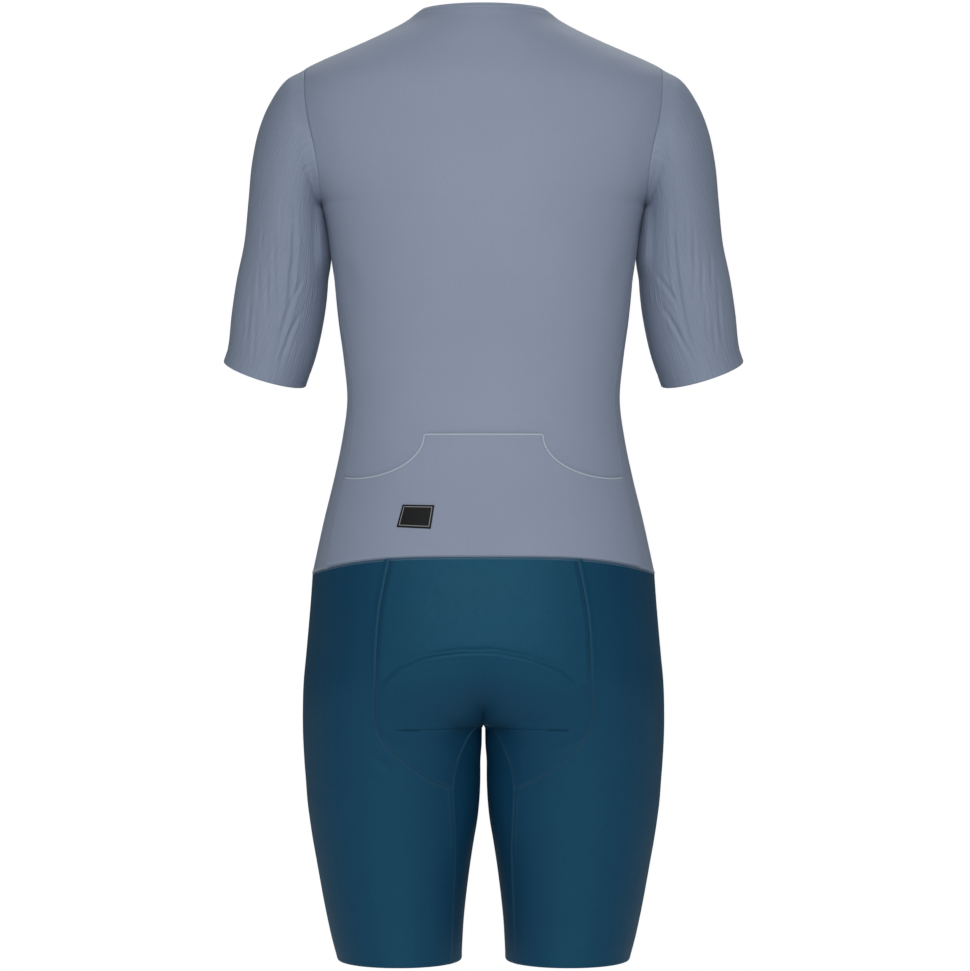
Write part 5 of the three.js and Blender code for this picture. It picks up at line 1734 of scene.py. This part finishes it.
@dataclass
class SeatPad:
    """The soft pad sewn inside the shorts, with channels on the side that meets the body."""

    cell: float = 2.6
    clearance: float = 2.2
    thickness: float = 4.6
    edge: float = 1.4

    def half(self, table: Table, start: float, at_back: bool, bottom: float, top: float) -> Array:
        """One half of the pad behind or in front, as a grid on the shorts' surface."""
        lines = (constant(start + (0.1 if at_back else -0.1)), constant(0.5 if at_back else 2.6))
        rows = heights(shorts_point, lines, top, bottom, self.cell, (0.0, 0.8, 1.8), (0.0, 0.8, 1.8))
        end = lambda s: angle_at(shorts_point, s, table("x", s), start, SIDE)
        return patch(shorts_point, rows, constant(start), end, self.cell, (0.0,), (0.0, 0.8, 1.8, 3.0))

    def make(self, wardrobe: Wardrobe) -> None:
        """Makes the pad's object and dresses it."""
        back = self.half(PAD_BACK, BACK, True, GUSSET_TIP, -632.0)
        front = self.half(PAD_FRONT, FRONT, False, GUSSET_TIP, -658.0)
        low = np.linspace(GUSSET_TIP, -744.0, 14)
        inner = lambda s: np.full(np.shape(s), BACK)
        outer = lambda s: angle_at(shorts_point, s, PAD_BACK("x", s), BACK, SIDE)
        fore = lambda s: angle_at(shorts_point, s, PAD_FRONT("x", s), FRONT, SIDE)
        count = (back.shape[1] - 5, front.shape[1] - 5)
        share = np.linspace(0, 1, 400)[None, :]
        tails = []
        for end, start, number in ((outer, BACK, count[0]), (fore, FRONT, count[1])):
            first = np.full((len(low), 1), start)
            last = end(low)[:, None]
            fine = shorts_point(first + (last - first) * share, low[:, None] + 0 * share)
            tails.append(np.stack([resample(row, number + 1, (0.0,), (0.0, 0.8, 1.8, 3.0)) for row in fine]))
        behind = np.concatenate([back, tails[0][1:]])
        before = np.concatenate([front, tails[1][1:]])
        cloth = Cloth("seat_pad", [behind, mirrored(behind), before, mirrored(before)], within_hips)
        count_points = len(cloth.points)
        rim = np.unique(cloth.border)
        away = np.full(count_points, 1e9)
        tree = KDTree(len(rim))
        for i, k in enumerate(rim.tolist()):
            tree.insert(cloth.points[k], i)
        tree.balance()
        away = np.array([tree.find(p)[2] for p in cloth.points])
        x = np.abs(cloth.points[:, 0])
        swell = smoothstep(away, 0, 15)
        thick = self.edge + (self.thickness - self.edge) * swell
        for centre, width, depth in ((0.0, 3.0, 1.6), (24.0, 2.4, 1.3), (58.0, 2.4, 1.1)):
            thick = thick - depth * swell * np.exp(-(((x - centre) / width) ** 2))
        thick = thick - 1.0 * np.exp(-(((away - 9) / 1.6) ** 2))
        offset = -SOLID_CLOTH - (0.6 + (self.clearance - 0.6) * swell)
        cloth.set_back = 0 * cloth.set_back
        base = cloth.points
        cloth.seam = np.exp(-(((away - 9) / 2) ** 2))
        piece = cloth.wall(1.0, offset)
        inner_points = base + cloth.normals * (offset - thick)[:, None]
        everything = np.concatenate([base + cloth.normals * offset[:, None], inner_points]) * MILLIMETRE
        piece.data.vertices.foreach_set("co", everything.ravel())
        piece.data.update()
        wardrobe.dress(piece, Finish.PAD)
        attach(piece, SUIT_BODY)
        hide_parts("seat_pad")
        log.info("seat_pad %d points", count_points)


@dataclass
class BackPocket:
    """The pocket on the back, the tape round its mouth and the badge on it."""

    mouth_z: float = -425.0
    mouth_half: float = 58.0
    scoop_width: float = 72.0
    scoop_depth: float = 44.0
    tape_width: float = 1.7
    tape_thickness: float = 1.1
    gape: float = 1.5
    cell: float = 3.0
    corners: tuple[tuple[float, float], ...] = ((48, -494.8), (79.3, -494.4), (85.2, -516.5), (51.6, -518))

    def mouth(self) -> Array:
        """The mouth's line from the middle to the side seam, as x and z."""
        level = np.stack([np.linspace(0, self.mouth_half, 60), np.full(60, self.mouth_z)], -1)
        turn = np.linspace(0, math.pi / 2, 200)[1:]
        scoop = np.stack(
            [
                self.mouth_half + self.scoop_width * (1 - np.cos(turn)),
                self.mouth_z - self.scoop_depth * np.sin(turn),
            ],
            -1,
        )
        foot = self.mouth_z - self.scoop_depth
        seam = float(SIDE_SEAM("share", foot) * TORSO("width", foot))
        line = np.concatenate([level, scoop, [[seam - 0.8, foot + 1]]])
        along = np.concatenate([[0], np.cumsum(np.linalg.norm(np.diff(line, axis=0), axis=1))])
        at = np.linspace(0, along[-1], int(along[-1] / 2.4))
        return np.stack([np.interp(at, along, line[:, k]) for k in range(2)], -1)

    def stand_off(self, x: Array, below: Array) -> Array:
        """How far the pocket stands off the back, by place across and distance under the mouth."""
        middle = np.exp(-((x / 50.0) ** 4)) * 0.7 + np.exp(-(((np.abs(x) - 84) / 26.0) ** 2)) * 0.6
        return self.gape * middle * np.exp(-((below / 22.0) ** 2))

    def make(self, wardrobe: Wardrobe) -> None:
        """Makes the pocket, its tape and its badge, and dresses them."""
        mouth = self.mouth()
        waist_reach = float(SIDE_SEAM("share", WAIST) * TORSO("width", WAIST)) - 1
        feet_x = mouth[:, 0] / mouth[-1, 0] * waist_reach
        ratio = np.clip(feet_x / float(TORSO("width", WAIST)), 0, 1)
        feet = torso_point(np.arcsin(ratio ** (float(TORSO("power", WAIST)) / 2)), np.full(len(mouth), WAIST))
        feet[:, 2] += 0.8
        down = np.concatenate([[0, 0.004, 0.009, 0.016, 0.026], np.linspace(0.04, 1, 40)])[:, None]
        x = mouth[:, 0] + (feet[:, 0] - mouth[:, 0]) * down
        z = mouth[:, 1] + (feet[:, 2] - mouth[:, 1]) * down
        half = back_point(x, z)
        whole = np.concatenate([mirrored(half)[:, ::-1], half[:, 1:]], 1)
        cloth = Cloth("back_pocket", [whole], within_torso)
        below = cloth.distance(cloth.points[cloth.edge(0, row=0)])
        cloth.creased = self.stand_off(cloth.points[:, 0], below)
        cloth.finish_edge(cloth.edge(0, row=0), BONDED, False)
        cloth.finish_edge(cloth.edge(0, row=-1), BONDED, False)
        for fold in (
            Crease(((118, -474), (96, -486), (70, -492)), 9, 0.3),
            Crease(((-120, -476), (-92, -492), (-58, -498)), 9, 0.3),
            Crease(((40, -440), (10, -446), (-30, -443)), 9, 0.22),
            Crease(((150, -520), (132, -536)), 8, 0.3),
            Crease(((-148, -516), (-128, -534)), 8, 0.3),
        ):
            cloth.creased = cloth.creased + fold.relief(cloth.points, cloth.normals)
        offset = OVERLAY + 1.0
        pocket = cloth.wall(1.0, offset)
        wardrobe.dress(pocket, Finish.UPPER)
        tape = self.make_tape(mouth, wardrobe)
        badge = self.make_badge(cloth, offset, wardrobe)
        for piece, node in ((pocket, "back_pocket"), (tape, "pocket_tape"), (badge, "pocket_label")):
            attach(piece, SUIT_BODY)
            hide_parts(node)
        self.stitches = [cloth.line(cloth.edge(0, row=4), offset + 0.05)]

    def make_tape(self, mouth: Array, wardrobe: Wardrobe) -> bpy.types.Object:
        """The rounded tape along the mouth, as one closed band."""
        line = np.concatenate([mouth[::-1] * np.array([-1.0, 1.0]), mouth[1:]])
        tangent = np.gradient(line, axis=0)
        tangent /= np.linalg.norm(tangent, axis=1, keepdims=True)
        up = np.stack([-tangent[:, 1], tangent[:, 0]], -1)
        turn = np.linspace(0, 2 * math.pi, 12, endpoint=False)
        across = self.tape_width / 2 * signed_power(np.cos(turn), 0.7)
        out = self.tape_thickness / 2 * signed_power(np.sin(turn), 0.7)
        rings = []
        for a, o in zip(across, out):
            seen = line + up * (a + self.tape_width / 2 - 0.3)
            base = back_point(seen[:, 0], seen[:, 1])
            probe = back_point(seen[:, 0], seen[:, 1] + 0.5)
            side = back_point(seen[:, 0] + 0.5, seen[:, 1])
            normal = np.cross(probe - base, side - base)
            normal /= np.linalg.norm(normal, axis=1, keepdims=True)
            normal *= np.sign(normal[:, 1:2])
            lift = OVERLAY + self.tape_thickness / 2 + o + self.stand_off(line[:, 0], np.zeros(len(line)))
            rings.append(base + normal * lift[:, None])
        grid = np.stack(rings, 1)
        count, around = grid.shape[:2]
        faces = []
        for i in range(count - 1):
            for k in range(around):
                n = (k + 1) % around
                faces.append((i * around + k, i * around + n, (i + 1) * around + n, (i + 1) * around + k))
        faces.append(tuple(reversed(range(around))))
        faces.append(tuple(range((count - 1) * around, count * around)))
        return self.solid("pocket_tape", grid.reshape(-1, 3), faces, wardrobe, Finish.TAPE)

    @staticmethod
    def solid(name: str, points: Array, faces: list[tuple[int, ...]], wardrobe: Wardrobe, finish: Finish) -> bpy.types.Object:
        """A closed mesh as a dressed object with its faces turned outwards."""
        mesh = bpy.data.meshes.new(name)
        mesh.from_pydata((points * MILLIMETRE).tolist(), [], faces)
        mesh.update()
        volume = 0.0
        for polygon in mesh.polygons:
            volume += polygon.center.dot(polygon.normal) * polygon.area
        if volume < 0:
            mesh.flip_normals()
        mesh.polygons.foreach_set("use_smooth", [True] * len(mesh.polygons))
        made = bpy.data.objects.new(name, mesh)
        bpy.context.scene.collection.objects.link(made)
        wardrobe.dress(made, finish)
        return made

    def make_badge(self, pocket: Cloth, offset: float, wardrobe: Wardrobe) -> bpy.types.Object:
        """The plain dark badge, a thin cushion with rounded edges on the pocket."""
        steps = np.concatenate([[0, 0.01, 0.03, 0.07], np.linspace(0.14, 0.86, 16), [0.93, 0.97, 0.99, 1]])
        top_inner, top_outer, bottom_outer, bottom_inner = (np.array(c, float) for c in self.corners)
        s, t = steps[None, :, None], steps[:, None, None]
        upper = top_inner + (top_outer - top_inner) * s
        lower = bottom_inner + (bottom_outer - bottom_inner) * s
        seen = upper + (lower - upper) * t
        grid = back_point(seen[..., 0], seen[..., 1])
        cloth = Cloth("pocket_label", [grid], within_torso)
        rim = np.minimum.outer(np.minimum(steps, 1 - steps) * 22.5, np.minimum(steps, 1 - steps) * 32)
        cloth.raised[cloth.number[0]] = -0.35 * np.exp(-((rim / 0.5) ** 2))
        cloth.creased = self.stand_off(cloth.points[:, 0], np.full(len(cloth.points), 75.0))
        badge = cloth.wall(0.7, offset + 1.25)
        uv = badge.data.uv_layers.new(name="face")
        corner = np.empty(len(badge.data.loops), np.int64)
        badge.data.loops.foreach_get("vertex_index", corner)
        face = np.zeros((len(cloth.points), 2))
        face[cloth.number[0], 0] = (steps[None, :] - 0.5) * 0.0318
        face[cloth.number[0], 1] = (0.5 - steps[:, None]) * 0.0228
        uv.data.foreach_set("uv", np.concatenate([face, face])[corner].ravel())
        wardrobe.dress(badge, Finish.LABEL)
        return badge


@dataclass
class FrontZip:
    """The zip: woven tape behind the fronts, coil between them, slider and pull."""

    tape_half: float = 13.0
    tape_thickness: float = 0.8
    slider_z: float = -70.0

    def make(self, upper: UpperBody, wardrobe: Wardrobe) -> None:
        """Makes the tape and the coil and dresses the slider and pull."""
        xs = np.array([-13, -12.4, -11, -8.5, -6, -4, -2.6, -1.6, -0.8, 0, 0.8, 1.6, 2.6, 4, 6, 8.5, 11, 12.4, 13])
        angles = np.stack([zip_angle(upper.sides, abs(x)) for x in xs], 1)
        grid = torso_point(angles, upper.sides[:, None] + 0 * angles)
        grid[..., 0] = xs
        cloth = Cloth("zip_tape", [grid], within_torso)
        cloth.raised[cloth.number[0]] = (-0.25 * np.exp(-((xs / 1.2) ** 2)))[None, :]
        tape = cloth.wall(self.tape_thickness, -SOLID_CLOTH - 0.3)
        wardrobe.dress(tape, Finish.ZIP_TAPE)
        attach(tape, SUIT_BODY)
        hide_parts("zip_tape")
        middle = cloth.edge(0, column=9)
        line = Line(cloth.points[middle] - cloth.normals[middle] * 0.35, cloth.normals[middle])
        coil = Repeats("zip_coil_teeth", [line]).grow(coil_tree(), {"Material": wardrobe.get(Finish.ZIP_COIL)})
        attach(coil, SUIT_BODY)
        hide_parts("zip_coil")
        for node in ("zip_slider", "zip_pull_tab"):
            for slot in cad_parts[node].material_slots:
                slot.material = wardrobe.get(Finish.METAL)
        log.info("zip coil %d faces", len(coil.data.polygons))


@dataclass
class Studio:
    """A plain pale floor, soft light, white surroundings and the camera."""

    distance: float = 3.25
    lens: float = 118.0
    height: float = -0.475
    floor: float = -1.45
    near: float = 6.0
    far: float = -2.7
    half_width: float = 9.0
    white: float = 1.0
    ambient: float = 0.1

    def stage(self) -> None:
        """Makes the floor. It ends behind the suit where the camera would start to see it."""
        mesh = bpy.data.meshes.new("floor")
        corners = ((-1, self.near), (-1, self.far), (1, self.far), (1, self.near))
        mesh.from_pydata([(side * self.half_width, y, self.floor) for side, y in corners], [], [(3, 2, 1, 0)])
        mesh.flip_normals()
        made = bpy.data.objects.new("floor", mesh)
        bpy.context.scene.collection.objects.link(made)
        shade = Shade("pale_floor")
        cloudy = shade.noise(shade.place(), 1.5, 2.0)
        colour = shade.blend(cloudy, (0.90, 0.90, 0.90), (0.93, 0.93, 0.93))
        mesh.materials.append(shade.finish(colour, 0.9, None, Specular_IOR_Level=0.2))

    @staticmethod
    def sun(name: str, strength: float, azimuth: float, elevation: float, spread: float) -> None:
        """Adds a distant soft lamp.

        Args:
            name: The lamp's name.
            strength: Its light in watts on a square metre.
            azimuth: Degrees round the suit from the chest's side.
            elevation: Degrees above the horizon.
            spread: How wide it looks, in degrees.
        """
        data = bpy.data.lights.new(name, "SUN")
        data.energy, data.angle = strength, math.radians(spread)
        made = bpy.data.objects.new(name, data)
        made.rotation_euler = (math.radians(90 - elevation), 0, math.radians(azimuth))
        bpy.context.scene.collection.objects.link(made)

    @staticmethod
    def pool(name: str, power: float, place: Colour, aim: Colour, spread: float) -> None:
        """Adds a soft-edged spot lamp that brightens one region.

        Args:
            name: The lamp's name.
            power: Its power in watts.
            place: Where it stands, in metres.
            aim: The middle of the region.
            spread: The cone's whole angle, in degrees.
        """
        data = bpy.data.lights.new(name, "SPOT")
        data.energy, data.spot_size, data.spot_blend = power, math.radians(spread), 1.0
        data.shadow_soft_size = 0.1
        made = bpy.data.objects.new(name, data)
        made.location = place
        made.rotation_euler = (Vector(aim) - Vector(place)).to_track_quat("-Z", "Y").to_euler()
        bpy.context.scene.collection.objects.link(made)

    def light(self) -> None:
        """Adds the lamps and the even surroundings."""
        self.pool("shoulder_pool", 14.0, (0.0, 1.9, 0.9), (0.0, 0.1, -0.15), 16.0)
        self.pool("waist_pool", 11.0, (0.0, 2.4, 0.9), (0.0, 0.1, -0.50), 11.0)
        self.sun("key", 1.72, 180.0, 20.0, 30.0)
        self.sun("low_fill", 0.2, 180.0, -14.0, 30.0)
        self.sun("top_light", 0.1, 180.0, 52.0, 30.0)
        self.sun("front_fill", 1.5, -6.0, 48.0, 40.0)
        world = bpy.data.worlds.new("surroundings")
        world.use_nodes = True
        tree = world.node_tree
        background = tree.nodes["Background"]
        background.inputs["Color"].default_value = (1.0, 1.0, 1.0, 1.0)
        path = tree.nodes.new("ShaderNodeLightPath")
        seen = tree.nodes.new("ShaderNodeMath")
        seen.operation = "MULTIPLY_ADD"
        seen.inputs[1].default_value = self.white - self.ambient
        seen.inputs[2].default_value = self.ambient
        tree.links.new(path.outputs["Is Camera Ray"], seen.inputs[0])
        tree.links.new(seen.outputs[0], background.inputs["Strength"])
        bpy.context.scene.world = world
        bpy.context.scene.view_settings.view_transform = "Standard"

    def camera(self) -> None:
        """Adds the camera behind the suit."""
        data = bpy.data.cameras.new("camera")
        data.lens, data.sensor_width = self.lens, 36.0
        made = bpy.data.objects.new("camera", data)
        made.location = (-0.0015, self.distance, self.height)
        made.rotation_euler = (math.pi / 2, 0, math.pi)
        bpy.context.scene.collection.objects.link(made)
        bpy.context.scene.camera = made

    def make(self) -> None:
        """Sets the stage up."""
        self.camera()
        self.stage()
        self.light()


def sew(name: str, lines: list[Line], group: bpy.types.NodeTree, finish: Finish, slot: str,
        wardrobe: Wardrobe, **values: object) -> bpy.types.Object:
    """Sews lines of stitches.

    Args:
        name: The piece's name.
        lines: Where the stitches run.
        group: The stitch's tree.
        finish: The thread.
        slot: The record's slot that the thread takes its finish from. Not used.
        wardrobe: Where finishes come from.
        values: The tree's inputs that differ from its own.

    Returns:
        The finished piece.
    """
    settings = {key.replace("_", " "): value for key, value in values.items()}
    made = Repeats(name, lines).grow(group, {"Material": wardrobe.get(finish), **settings})
    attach(made, SUIT_BODY)
    log.info("%s %d faces", name, len(made.data.polygons))
    return made


def main() -> None:
    """Builds the suit's looks piece by piece."""
    logging.basicConfig(level=logging.INFO, format="%(name)s: %(message)s")
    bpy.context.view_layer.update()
    Studio().make()
    wardrobe = Wardrobe()
    upper = UpperBody()
    upper.build()
    upper.make(wardrobe)
    neck = NeckBinding()
    neck.build()
    neck.make(wardrobe)
    tip, pit = upper.tip_row(SHOULDER_TIP), upper.tip_row(ARMPIT)
    armhole_rows = upper.sides[tip : pit + 1]
    sleeves = [
        Sleeve("sleeve_left", True, armhole_rows, LEFT_SLEEVE_CREASES),
        Sleeve("sleeve_right", False, armhole_rows, RIGHT_SLEEVE_CREASES),
    ]
    for sleeve in sleeves:
        sleeve.build()
        sleeve.make(wardrobe)
    shorts = Shorts()
    shorts.build()
    shorts.make(wardrobe)
    SeatPad().make(wardrobe)
    pocket = BackPocket()
    pocket.make(wardrobe)
    FrontZip().make(upper, wardrobe)
    flatlock, running = flatlock_tree(), running_tree()
    upper_seams = upper.seams() + [line for s in sleeves for line in s.seams()]
    sew("upper_flatlock", upper_seams, flatlock, Finish.THREAD_UPPER, "upper_knit", wardrobe)
    single = upper.topstitches() + pocket.stitches
    sew("upper_topstitch", single, running, Finish.THREAD_UPPER, "upper_knit", wardrobe)
    sew("shorts_flatlock", shorts.seams(), flatlock, Finish.THREAD_SHORTS, "shorts_knit", wardrobe)


if __name__ == "__main__":
    main()
